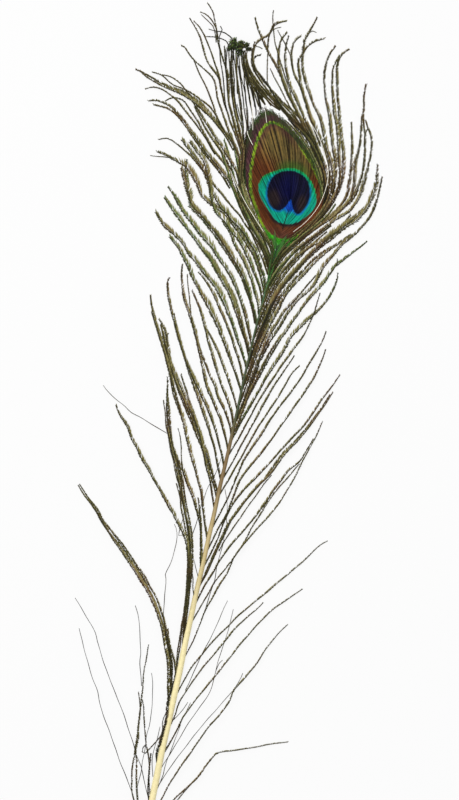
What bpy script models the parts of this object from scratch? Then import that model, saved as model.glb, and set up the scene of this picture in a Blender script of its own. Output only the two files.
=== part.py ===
"""A loose peacock tail feather, lying face up on a surface.

The shaft runs along +Y from the bare quill to the eye, and the face of the
vane looks up. The vane's loose barbs are modelled as locks, each a lens-shaped
strand along its own centre line, and all of them are one body with the shaft
and the eye. Plan places are millimetres: x across, y from the quill's tip.
"""

import math

import bmesh
import bpy
from mathutils import Vector

MM = 0.001

# Driving dimensions, in millimetres.
PLAN_CENTRE = (-12.7, 249.0)
EYE_THICKNESS = 1.5
EYE_RIM = 0.7
EYE_CROWN_SCALE = 0.62
LOCK_THICKNESS = 1.1
TIP_THICKNESS = 0.5
TIP_WIDTH_SHARE = 0.3
TIP_TAPER_POWER = 3
LOCK_LIFTS = (0.8, 1.7, 2.6, 1.3, 2.1)
TIP_HEIGHT = 0.35
STATION_SPACING = 13.0
ROOT_SLANT = 3.0
ROOT_CLEARANCE = 0.1
SHAFT_SIDES = 8
FEATHER_COLOUR = (0.075, 0.062, 0.018, 1.0)
FEATHER_ROUGHNESS = 0.5

# The shaft from the quill's tip up: y, x and width.
SHAFT = (
    (0.0, 1.6, 1.6),
    (3.0, 1.6, 2.9),
    (10.0, 1.5, 3.8),
    (30.0, 1.4, 4.0),
    (60.0, 1.3, 3.8),
    (98.0, 1.1, 3.4),
    (130.0, 0.6, 3.3),
    (160.0, 0.5, 3.1),
    (190.0, 0.2, 2.9),
    (220.0, 0.1, 2.4),
    (250.0, 0.2, 2.1),
    (280.0, 0.3, 1.8),
    (310.0, 0.1, 1.3),
    (335.0, 0.3, 1.1),
    (360.0, 0.9, 0.9),
    (385.0, 2.0, 0.8),
    (404.0, 3.6, 0.6),
)

# The outline of the closed vane that carries the eye, from its base anticlockwise.
EYE_OUTLINE = (
    (1.9, 372.0),
    (7.6, 384.0),
    (14.5, 391.5),
    (20.0, 400.5),
    (22.2, 409.0),
    (20.0, 417.5),
    (14.5, 425.5),
    (8.2, 432.6),
    (0.8, 440.2),
    (-7.5, 445.4),
    (-17.6, 448.2),
    (-22.5, 441.0),
    (-25.2, 430.0),
    (-23.5, 419.0),
    (-20.2, 408.0),
    (-15.0, 397.5),
    (-8.0, 388.0),
    (-3.2, 380.5),
)

# Locks that grow from the shaft: width, then the centre line from the tip to the root.
LOCKS = {
    # beside the eye, on the left
    "left_01": (3.0, (
        (-86.6, 452.8), (-70.8, 448.5), (-52.8, 443.4), (-36.5, 432.0), (-22.3, 416.3), (-10.0, 394.0),
        (0.6, 374.0),
    )),
    "left_02": (2.8, (
        (-55.4, 443.8), (-46.2, 433.9), (-35.1, 423.2), (-19.7, 407.1), (-6.5, 384.6), (0.8, 370.7),
    )),
    "left_03": (1.8, (
        (-68.6, 440.5), (-60.2, 442.7), (-51.0, 434.6), (-39.1, 421.0), (-23.0, 406.0), (-9.0, 386.4),
        (0.8, 369.6),
    )),
    "left_04": (2.4, (
        (-76.7, 438.9), (-65.3, 438.1), (-50.3, 426.5), (-34.0, 413.0), (-18.6, 395.5), (-4.7, 375.1),
        (0.3, 367.0),
    )),
    "left_05": (1.8, (
        (-67.7, 421.2), (-58.7, 421.2), (-43.3, 411.1), (-27.0, 397.6), (-11.3, 381.3), (0.9, 361.0),
    )),
    "left_06": (2.6, (
        (-52.5, 423.2), (-43.7, 415.9), (-38.0, 404.2), (-28.5, 389.0), (-12.0, 374.7), (0.5, 356.0),
    )),
    "left_07": (1.8, (
        (-67.3, 415.2), (-50.6, 410.2), (-39.5, 396.7), (-23.0, 382.4), (-8.0, 364.8), (0.3, 351.0),
    )),
    "left_08": (2.4, ((-51.8, 414.6), (-46.2, 396.7), (-30.3, 380.9), (-13.5, 364.1), (0.3, 346.0))),
    "left_09": (1.9, (
        (-58.2, 399.2), (-47.3, 387.9), (-31.8, 375.4), (-16.8, 361.1), (-4.3, 343.0), (0.4, 333.0),
    )),
    "left_10": (1.9, ((-58.7, 393.6), (-40.0, 376.5), (-22.6, 361.1), (-8.7, 343.0), (0.3, 326.0))),
    "left_11": (2.4, ((-61.4, 385.2), (-48.4, 374.7), (-31.4, 362.6), (-15.5, 346.5), (0.2, 318.5))),
    "left_12": (1.7, ((-51.7, 375.1), (-42.5, 364.0), (-28.8, 349.7), (-14.6, 330.6), (0.0, 307.0))),
    "left_13": (1.4, (
        (-42.8, 363.0), (-37.5, 345.5), (-27.8, 328.4), (-17.9, 306.4), (-8.0, 292.7), (0.1, 276.5),
    )),
    "left_14": (1.8, ((-35.1, 351.2), (-26.3, 337.9), (-14.6, 315.2), (-3.2, 297.1), (0.0, 289.0))),
    "left_15": (1.7, ((-24.5, 334.6), (-13.5, 320.7), (-6.9, 310.4), (0.0, 298.0))),
    "left_16": (1.8, (
        (-47.3, 355.1), (-45.5, 344.5), (-34.7, 323.6), (-20.8, 303.4), (-8.3, 285.0), (0.0, 268.0),
    )),
    "left_17": (1.6, ((-32.5, 319.6), (-21.2, 300.9), (-7.2, 277.3), (0.0, 261.0))),
    "left_18": (2.6, (
        (-54.9, 344.5), (-47.0, 327.3), (-36.9, 308.2), (-24.1, 284.2), (-12.0, 261.1), (0.0, 230.0),
    )),
    "left_19": (2.2, ((-48.2, 333.7), (-40.5, 321.0), (-29.6, 302.3), (-14.2, 279.5), (0.0, 254.0))),
    "left_20": (1.5, ((-31.2, 309.1), (-25.0, 298.3), (-13.5, 277.5), (-5.0, 258.9), (0.1, 246.0))),
    "left_21": (1.8, (
        (-37.4, 306.4), (-33.0, 287.0), (-27.0, 271.0), (-16.5, 257.0), (-6.7, 240.0), (0.1, 218.0),
    )),
    "left_22": (3.0, (
        (-37.0, 294.6), (-31.0, 278.5), (-22.5, 259.5), (-15.5, 244.5), (-8.3, 225.0), (-4.2, 200.0),
        (-2.2, 178.0), (0.3, 158.0),
    )),
    "left_23": (1.7, (
        (-59.8, 287.0), (-52.5, 278.5), (-41.0, 263.5), (-25.5, 246.6), (-12.5, 231.5), (-6.5, 217.0),
        (-3.0, 200.0), (0.3, 178.0),
    )),
    "left_24": (2.6, (
        (-68.8, 244.5), (-52.8, 229.0), (-37.0, 214.7), (-19.8, 196.5), (-9.5, 179.0), (-3.4, 162.0),
        (0.4, 148.0),
    )),
    "left_25": (1.8, (
        (-54.8, 230.0), (-39.0, 213.5), (-23.0, 198.0), (-11.0, 179.0), (-5.0, 161.0), (0.4, 141.0),
    )),
    "left_26": (1.0, (
        (-58.5, 188.5), (-44.9, 174.3), (-30.3, 150.0), (-13.5, 123.5), (-5.0, 107.5), (0.9, 96.0),
    )),
    "left_27": (1.0, (
        (-53.2, 174.2), (-41.0, 151.0), (-27.5, 128.0), (-13.5, 106.5), (-7.0, 95.5), (1.0, 82.0),
    )),
    "left_28": (1.5, (
        (-17.6, 173.8), (-16.2, 155.5), (-13.7, 134.0), (-12.4, 117.0), (-8.8, 99.0), (1.1, 78.0),
    )),
    "left_29": (1.2, ((-17.3, 149.6), (-13.4, 131.0), (-9.6, 110.0), (-6.5, 98.0), (1.1, 74.0))),
    "left_30": (1.2, (
        (-13.0, 160.3), (-8.8, 142.5), (-8.2, 126.0), (-7.3, 108.0), (-5.4, 96.0), (1.1, 70.0),
    )),
    "left_31": (2.0, ((-14.6, 146.0), (-9.8, 131.0), (-4.8, 117.5), (-2.2, 105.0), (1.0, 88.0))),
    # the plume above the eye, passing on its left
    "plume_01": (1.6, (
        (-58.9, 493.0), (-53.4, 485.7), (-47.3, 470.7), (-36.2, 445.0), (-30.5, 428.0), (-22.0, 406.0),
        (-8.0, 384.0), (0.9, 371.0),
    )),
    "plume_02": (1.6, (
        (-65.8, 483.9), (-52.6, 464.8), (-38.4, 444.0), (-33.5, 430.0), (-24.5, 409.0), (-11.0, 388.0),
        (0.7, 370.0),
    )),
    "plume_03": (1.7, (
        (-66.9, 469.3), (-52.8, 460.2), (-41.5, 445.0), (-35.5, 432.0), (-26.0, 411.0), (-12.0, 389.0),
        (0.8, 368.0),
    )),
    "plume_04": (2.0, (
        (-49.9, 483.3), (-48.8, 475.0), (-41.0, 458.0), (-34.0, 443.0), (-29.0, 426.0), (-23.0, 408.0),
        (-12.0, 391.0),
    )),
    "plume_05": (1.6, (
        (-48.8, 478.4), (-40.7, 464.8), (-33.0, 445.0), (-27.8, 428.0), (-23.0, 412.0), (-14.0, 396.0),
    )),
    "plume_06": (2.6, (
        (-44.5, 474.5), (-38.5, 474.5), (-33.5, 460.0), (-29.0, 444.0), (-25.8, 428.0), (-21.5, 412.0),
    )),
    "plume_07": (2.4, ((-31.0, 478.2), (-36.5, 475.5), (-30.5, 459.0), (-24.5, 446.0), (-19.0, 436.0))),
    "plume_08": (1.8, ((-30.5, 475.0), (-26.5, 462.0), (-20.0, 449.0), (-14.0, 439.0))),
    # the plume above the eye, passing on its right
    "plume_09": (3.0, (
        (-30.3, 480.0), (-29.2, 467.7), (-15.7, 455.6), (-1.0, 443.0), (9.3, 431.0), (15.0, 422.0),
    )),
    "plume_10": (1.8, (
        (-34.2, 491.0), (-24.5, 476.5), (-10.5, 458.2), (5.2, 440.0), (16.0, 422.5), (20.5, 411.0),
    )),
    "plume_11": (1.6, (
        (-15.7, 486.1), (-13.1, 468.8), (-1.0, 449.8), (8.2, 437.9), (18.0, 417.0), (20.0, 408.0),
    )),
    "plume_12": (1.6, (
        (-3.6, 498.2), (-7.2, 484.2), (-2.8, 465.5), (8.9, 447.9), (18.2, 429.5), (21.8, 413.0),
        (17.5, 399.0), (2.2, 377.0),
    )),
    "plume_13": (1.6, (
        (2.3, 488.3), (-8.0, 475.5), (-3.9, 461.9), (9.8, 440.5), (18.2, 426.2), (21.0, 412.0),
    )),
    "plume_14": (1.5, (
        (8.5, 486.3), (6.0, 472.0), (12.0, 452.7), (20.4, 430.2), (23.2, 412.0), (18.5, 398.5),
        (2.0, 375.0),
    )),
    "plume_15": (1.6, (
        (11.5, 481.8), (10.5, 468.1), (18.6, 443.4), (25.0, 417.0), (17.5, 396.5), (1.7, 373.0),
    )),
    "plume_16": (1.6, (
        (15.6, 486.1), (11.6, 475.1), (18.9, 448.3), (26.2, 419.9), (18.9, 397.5), (1.5, 371.0),
    )),
    # right of the eye
    "right_01": (1.5, ((24.4, 450.7), (29.0, 428.7), (29.6, 411.1), (14.2, 390.0), (1.5, 369.0))),
    "right_02": (1.6, ((27.4, 470.7), (30.9, 440.0), (31.8, 411.5), (18.9, 394.5), (1.4, 366.0))),
    "right_03": (1.7, ((29.4, 456.0), (35.4, 429.5), (30.7, 408.9), (14.0, 388.0), (1.3, 363.0))),
    "right_04": (2.0, ((31.2, 453.1), (37.5, 429.8), (32.9, 406.4), (14.2, 385.5), (1.1, 359.0))),
    "right_05": (1.5, ((34.3, 405.3), (24.8, 390.8), (9.8, 375.0), (0.9, 353.0))),
    "right_06": (2.7, (
        (41.9, 432.9), (43.0, 417.0), (33.2, 398.5), (18.9, 380.2), (7.6, 360.0), (0.7, 333.0),
    )),
    "right_07": (1.9, (
        (45.2, 427.4), (44.2, 406.7), (30.3, 383.5), (17.8, 357.5), (6.1, 332.8), (0.3, 314.0),
    )),
    "right_08": (2.0, ((45.1, 394.4), (31.0, 376.2), (18.9, 349.9), (9.8, 325.1), (0.2, 290.0))),
    "right_09": (1.7, ((34.3, 375.6), (30.7, 358.2), (18.4, 339.0), (11.2, 314.8), (0.3, 282.0))),
    "right_10": (1.8, ((27.7, 364.1), (24.4, 341.6), (10.5, 307.1), (0.3, 273.0))),
    "right_11": (1.5, ((22.1, 330.7), (13.1, 305.3), (6.4, 282.0), (0.4, 262.0))),
    "right_12": (1.6, ((25.9, 326.2), (16.0, 301.6), (7.6, 276.5), (0.3, 253.0))),
    "right_13": (1.8, ((34.8, 346.0), (28.1, 321.0), (14.2, 287.5), (6.3, 260.0), (0.2, 235.0))),
    "right_14": (1.8, ((36.6, 337.2), (29.2, 309.3), (14.5, 275.1), (6.3, 246.0), (0.2, 223.0))),
    "right_15": (1.8, ((46.4, 326.2), (35.4, 299.6), (15.3, 264.8), (6.0, 243.0), (0.2, 215.0))),
    "right_16": (2.6, ((45.0, 317.0), (34.3, 291.9), (17.8, 261.5), (5.8, 228.0), (0.3, 205.0))),
    "right_17": (1.4, ((43.1, 301.6), (36.2, 273.6), (20.0, 236.8), (8.7, 213.0), (0.4, 187.0))),
    "right_18": (1.7, ((40.4, 292.0), (29.2, 268.5), (17.5, 241.9), (6.3, 217.0), (0.4, 196.0))),
    "right_19": (1.5, ((36.4, 278.4), (23.9, 252.3), (13.1, 217.7), (4.9, 187.2), (0.5, 168.0))),
    "right_20": (1.7, ((58.6, 243.7), (43.9, 224.7), (22.6, 196.7), (8.7, 172.9), (0.6, 149.0))),
    "right_21": (1.7, ((51.5, 217.9), (34.3, 197.1), (18.6, 166.6), (6.5, 140.0), (0.7, 121.0))),
    "right_22": (1.5, ((33.8, 206.9), (22.2, 189.4), (7.2, 158.6), (0.7, 132.0))),
    "right_23": (1.2, ((20.0, 200.3), (18.0, 165.2), (8.3, 133.9), (0.8, 111.0))),
    "right_24": (1.7, ((48.3, 198.8), (36.2, 174.3), (20.8, 140.5), (8.3, 109.3), (1.0, 87.0))),
    "right_25": (1.2, ((28.3, 160.0), (12.7, 130.6), (0.9, 102.0))),
    "right_26": (1.7, ((61.2, 141.4), (34.3, 131.3), (27.5, 128.2), (14.2, 104.9), (1.2, 80.0))),
}


def plan_point(x, y, z):
    """Turn a plan place into metres about the feather's own origin."""
    return Vector((x - PLAN_CENTRE[0], y - PLAN_CENTRE[1], z)) * MM


def smooth_curve(points, spacing):
    """Sample a Catmull-Rom curve through plan points at about the given spacing."""
    padded = [points[0], *points, points[-1]]
    curve = []
    for i in range(1, len(padded) - 2):
        p0, p1, p2, p3 = (Vector(p) for p in padded[i - 1:i + 3])
        steps = max(1, round((p2 - p1).length / spacing))
        for step in range(steps):
            t = step / steps
            pull = (p2 - p0) * t
            bend = (2 * p0 - 5 * p1 + 4 * p2 - p3) * t * t
            twist = (3 * p1 - p0 - 3 * p2 + p3) * t ** 3
            curve.append(p1 + (pull + bend + twist) / 2)
    curve.append(Vector(points[-1]))
    return curve


def shaft_at(y):
    """Return the shaft's x and width at a plan height."""
    for (y0, x0, w0), (y1, x1, w1) in zip(SHAFT, SHAFT[1:]):
        if y <= y1:
            t = (y - y0) / (y1 - y0)
            return x0 + t * (x1 - x0), w0 + t * (w1 - w0)
    return SHAFT[-1][1], SHAFT[-1][2]


def bridge_rings(bm, rings):
    """Skin closed rings of equal count, and cap the first and last."""
    loops = [[bm.verts.new(co) for co in ring] for ring in rings]
    for low, high in zip(loops, loops[1:]):
        count = len(low)
        for i in range(count):
            j = (i + 1) % count
            bm.faces.new((low[i], low[j], high[j], high[i]))
    bm.faces.new(list(reversed(loops[0])))
    bm.faces.new(loops[-1])


def new_object(name, bm):
    """Recalculate the faces outward and link the mesh as one named object."""
    bmesh.ops.recalc_face_normals(bm, faces=bm.faces)
    mesh = bpy.data.meshes.new(name)
    bm.to_mesh(mesh)
    bm.free()
    obj = bpy.data.objects.new(name, mesh)
    bpy.context.scene.collection.objects.link(obj)
    return obj


def shaft_ring(y, x, width):
    """One round section of the shaft, standing on the surface."""
    radius = width / 2
    ring = []
    for i in range(SHAFT_SIDES):
        angle = (2 * i + 1) * math.pi / SHAFT_SIDES
        height = radius * math.cos(math.pi / SHAFT_SIDES)
        ring.append(plan_point(x + radius * math.cos(angle), y, height + radius * math.sin(angle)))
    return ring


def build_shaft(name):
    """The quill and shaft as one tapered tube, closed at both ends."""
    bm = bmesh.new()
    bridge_rings(bm, [shaft_ring(*station) for station in SHAFT])
    return new_object(name, bm)


def build_eye(name):
    """The closed vane of the eye: flat beneath, gently crowned above."""
    middle = sum((Vector(p) for p in EYE_OUTLINE), Vector((0.0, 0.0))) / len(EYE_OUTLINE)
    outline = [Vector(p) for p in EYE_OUTLINE]
    crown = [middle + (p - middle) * EYE_CROWN_SCALE for p in outline]
    bm = bmesh.new()
    rings = [
        [plan_point(*p, 0.0) for p in outline],
        [plan_point(*p, EYE_RIM) for p in outline],
        [plan_point(*p, EYE_THICKNESS) for p in crown],
    ]
    bridge_rings(bm, rings)
    return new_object(name, bm)


def lock_height(share, root_height, lift):
    """Height of a lock's centre line, from its root at 0 to its tip at 1."""
    base = root_height + (TIP_HEIGHT - root_height) * share
    return base + lift * math.sin(math.pi * share)


def build_lock(name, width, points, lift):
    """One lock: a lens-shaped strand that tapers to its tip."""
    root_x, root_width = shaft_at(points[-1][1])
    on_shaft = abs(points[-1][0] - root_x) < root_width
    root_height = max(root_width / 2, LOCK_THICKNESS / 2 + ROOT_CLEARANCE) if on_shaft else EYE_RIM
    curve = smooth_curve(points, STATION_SPACING)
    if on_shaft:
        curve.append(Vector((root_x, points[-1][1] - ROOT_SLANT)))
    bm = bmesh.new()
    rings = []
    last = len(curve) - 1
    for i, place in enumerate(curve):
        share = 1 - i / last
        ahead = curve[min(i + 1, last)] - curve[max(i - 1, 0)]
        side = Vector((-ahead.y, ahead.x)).normalized()
        taper = 1.0 - (1.0 - TIP_WIDTH_SHARE) * share ** TIP_TAPER_POWER
        half = width * taper / 2
        thick = (LOCK_THICKNESS + (TIP_THICKNESS - LOCK_THICKNESS) * share) / 2
        z = lock_height(share, root_height, lift)
        rings.append([
            plan_point(*(place - side * half), z),
            plan_point(*place, z - thick),
            plan_point(*(place + side * half), z),
            plan_point(*place, z + thick),
        ])
    bridge_rings(bm, rings)
    return new_object(name, bm)


def make_material(name):
    """The plain olive brown of the whole feather."""
    material = bpy.data.materials.new(name)
    material.use_nodes = True
    shader = material.node_tree.nodes["Principled BSDF"]
    shader.inputs["Base Color"].default_value = FEATHER_COLOUR
    shader.inputs["Roughness"].default_value = FEATHER_ROUGHNESS
    shader.inputs["Metallic"].default_value = 0.0
    return material


def join_to(target, pieces):
    """Unite guide pieces with the target in one closed body."""
    group = bpy.data.collections.new("feather_guides")
    bpy.context.scene.collection.children.link(group)
    for piece in pieces:
        bpy.context.scene.collection.objects.unlink(piece)
        group.objects.link(piece)
        piece.hide_render = True
        piece.display_type = "WIRE"
    union = target.modifiers.new("grown_together", "BOOLEAN")
    union.operation = "UNION"
    union.solver = "MANIFOLD"
    union.operand_type = "COLLECTION"
    union.collection = group


def main():
    """Build the feather."""
    for old in list(bpy.data.objects):
        bpy.data.objects.remove(old)
    feather = build_shaft("feather")
    feather.data.materials.append(make_material("feather"))
    guides = [build_eye("eye_guide")]
    for number, (name, (width, points)) in enumerate(LOCKS.items()):
        lift = LOCK_LIFTS[number % len(LOCK_LIFTS)]
        guides.append(build_lock(name, width, points, lift))
    join_to(feather, guides)


main()
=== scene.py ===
"""Looks of a loose peacock tail feather, lying face up and seen from above.

The shaft, the closed vane of the eye, and the loose barbs with their barbules
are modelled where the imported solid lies. Plan places are millimetres: x across
and y from the quill's tip, as in PLAN_CENTRE below.
"""

import logging
import math
from dataclasses import dataclass
from enum import Enum
from typing import Iterable, NamedTuple, Optional, Sequence, Union

import bmesh
import bpy
import numpy as np
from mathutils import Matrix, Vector


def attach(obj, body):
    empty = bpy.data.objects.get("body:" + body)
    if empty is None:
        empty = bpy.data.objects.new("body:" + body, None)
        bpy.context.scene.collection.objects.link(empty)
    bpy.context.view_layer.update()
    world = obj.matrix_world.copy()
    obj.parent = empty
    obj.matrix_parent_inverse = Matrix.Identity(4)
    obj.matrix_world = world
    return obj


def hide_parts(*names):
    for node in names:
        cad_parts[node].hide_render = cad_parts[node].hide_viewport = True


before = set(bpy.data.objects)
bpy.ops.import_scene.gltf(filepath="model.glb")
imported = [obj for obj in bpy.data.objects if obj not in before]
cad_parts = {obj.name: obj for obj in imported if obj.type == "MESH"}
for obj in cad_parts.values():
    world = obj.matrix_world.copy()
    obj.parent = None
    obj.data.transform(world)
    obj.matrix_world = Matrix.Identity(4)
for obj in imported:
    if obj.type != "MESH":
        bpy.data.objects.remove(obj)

LOG = logging.getLogger("peacock_feather")

MM = 0.001
PLAN_CENTRE = (-12.7, 249.0)
BODY = "root"
SEED = 11
TINY = 1e-12

Array = np.ndarray
Rng = np.random.Generator
Route = tuple[float, ...]
Outline = tuple[tuple[float, float], ...]
Pair = tuple[float, float]
Piece = bpy.types.Object
Socket = bpy.types.NodeSocket
Feed = Union[Socket, float, tuple[float, ...]]


class Make(NamedTuple):
    """What a strand is made of.

    Attributes:
        barbs: How many barbs it has.
        spread: Distance between them, in mm.
        breadth: Half a barb's own width, in mm.
        reach: How far its longest barbules reach to the side, in mm.
        taper: Stretch at its tip over which they grow shorter, in mm.
    """

    barbs: int
    spread: float
    breadth: float
    reach: float
    taper: float


class Weight(Enum):
    """How much barb a strand holds."""

    BUNDLE = Make(5, 1.15, 0.28, 0.7, 10.0)
    THICK = Make(3, 1.25, 0.28, 0.6, 14.0)
    BROAD = Make(1, 0.0, 0.36, 2.0, 14.0)
    NORMAL = Make(1, 0.0, 0.33, 1.4, 36.0)
    SLIM = Make(1, 0.0, 0.31, 0.75, 34.0)
    LINE = Make(1, 0.0, 0.3, 0.35, 30.0)
    FINE = Make(1, 0.0, 0.24, 0.5, 30.0)
    WIRE = Make(1, 0.0, 0.2, 0.0, 20.0)


class Tint(NamedTuple):
    """A strand's colouring: its share of green, and how dark it is."""

    green: float
    darkness: float


class Tone(Enum):
    """Colour family of a strand."""

    OLIVE = Tint(0.15, 0.35)
    GREEN = Tint(0.9, 0.34)
    BRONZE = Tint(0.0, 0.3)
    DARK = Tint(0.2, 0.62)
    LUSH = Tint(1.8, 0.28)


@dataclass(frozen=True)
class Strand:
    """One loose barb, or a few that cling together.

    Attributes:
        weight: How much barb it holds.
        tone: Its colour family.
        line: Plan x and y in turn, in mm, from the tip to the root.
    """

    weight: Weight
    tone: Tone
    line: Route

    def points(self) -> Array:
        """Return the centre line as rows of x and y, from the root to the tip."""
        return np.array(self.line, dtype=float).reshape(-1, 2)[::-1]


def strands(weight: Weight, tone: Tone, *lines: Route) -> list[Strand]:
    """Make a strand of one weight and tone along each line."""
    return [Strand(weight, tone, line) for line in lines]


BUNDLE, THICK, BROAD, NORMAL, SLIM, LINE, FINE, WIRE = Weight
OLIVE, GREEN, BRONZE, DARK, LUSH = Tone

# The shaft from the quill's tip up: y, x and width in mm.
SHAFT = (
    (0.0, 1.6, 1.6), (3.0, 1.6, 2.9), (10.0, 1.5, 3.8), (30.0, 1.4, 4.0), (60.0, 1.3, 3.8),
    (98.0, 1.1, 3.4), (130.0, 0.6, 3.3), (160.0, 0.5, 3.1), (190.0, 0.2, 2.9), (220.0, 0.1, 2.4),
    (250.0, 0.2, 2.1), (280.0, 0.3, 1.8), (310.0, 0.1, 1.3), (335.0, 0.3, 1.1), (360.0, 0.9, 0.9),
    (385.0, 2.0, 0.8), (404.0, 3.6, 0.6),
)

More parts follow.
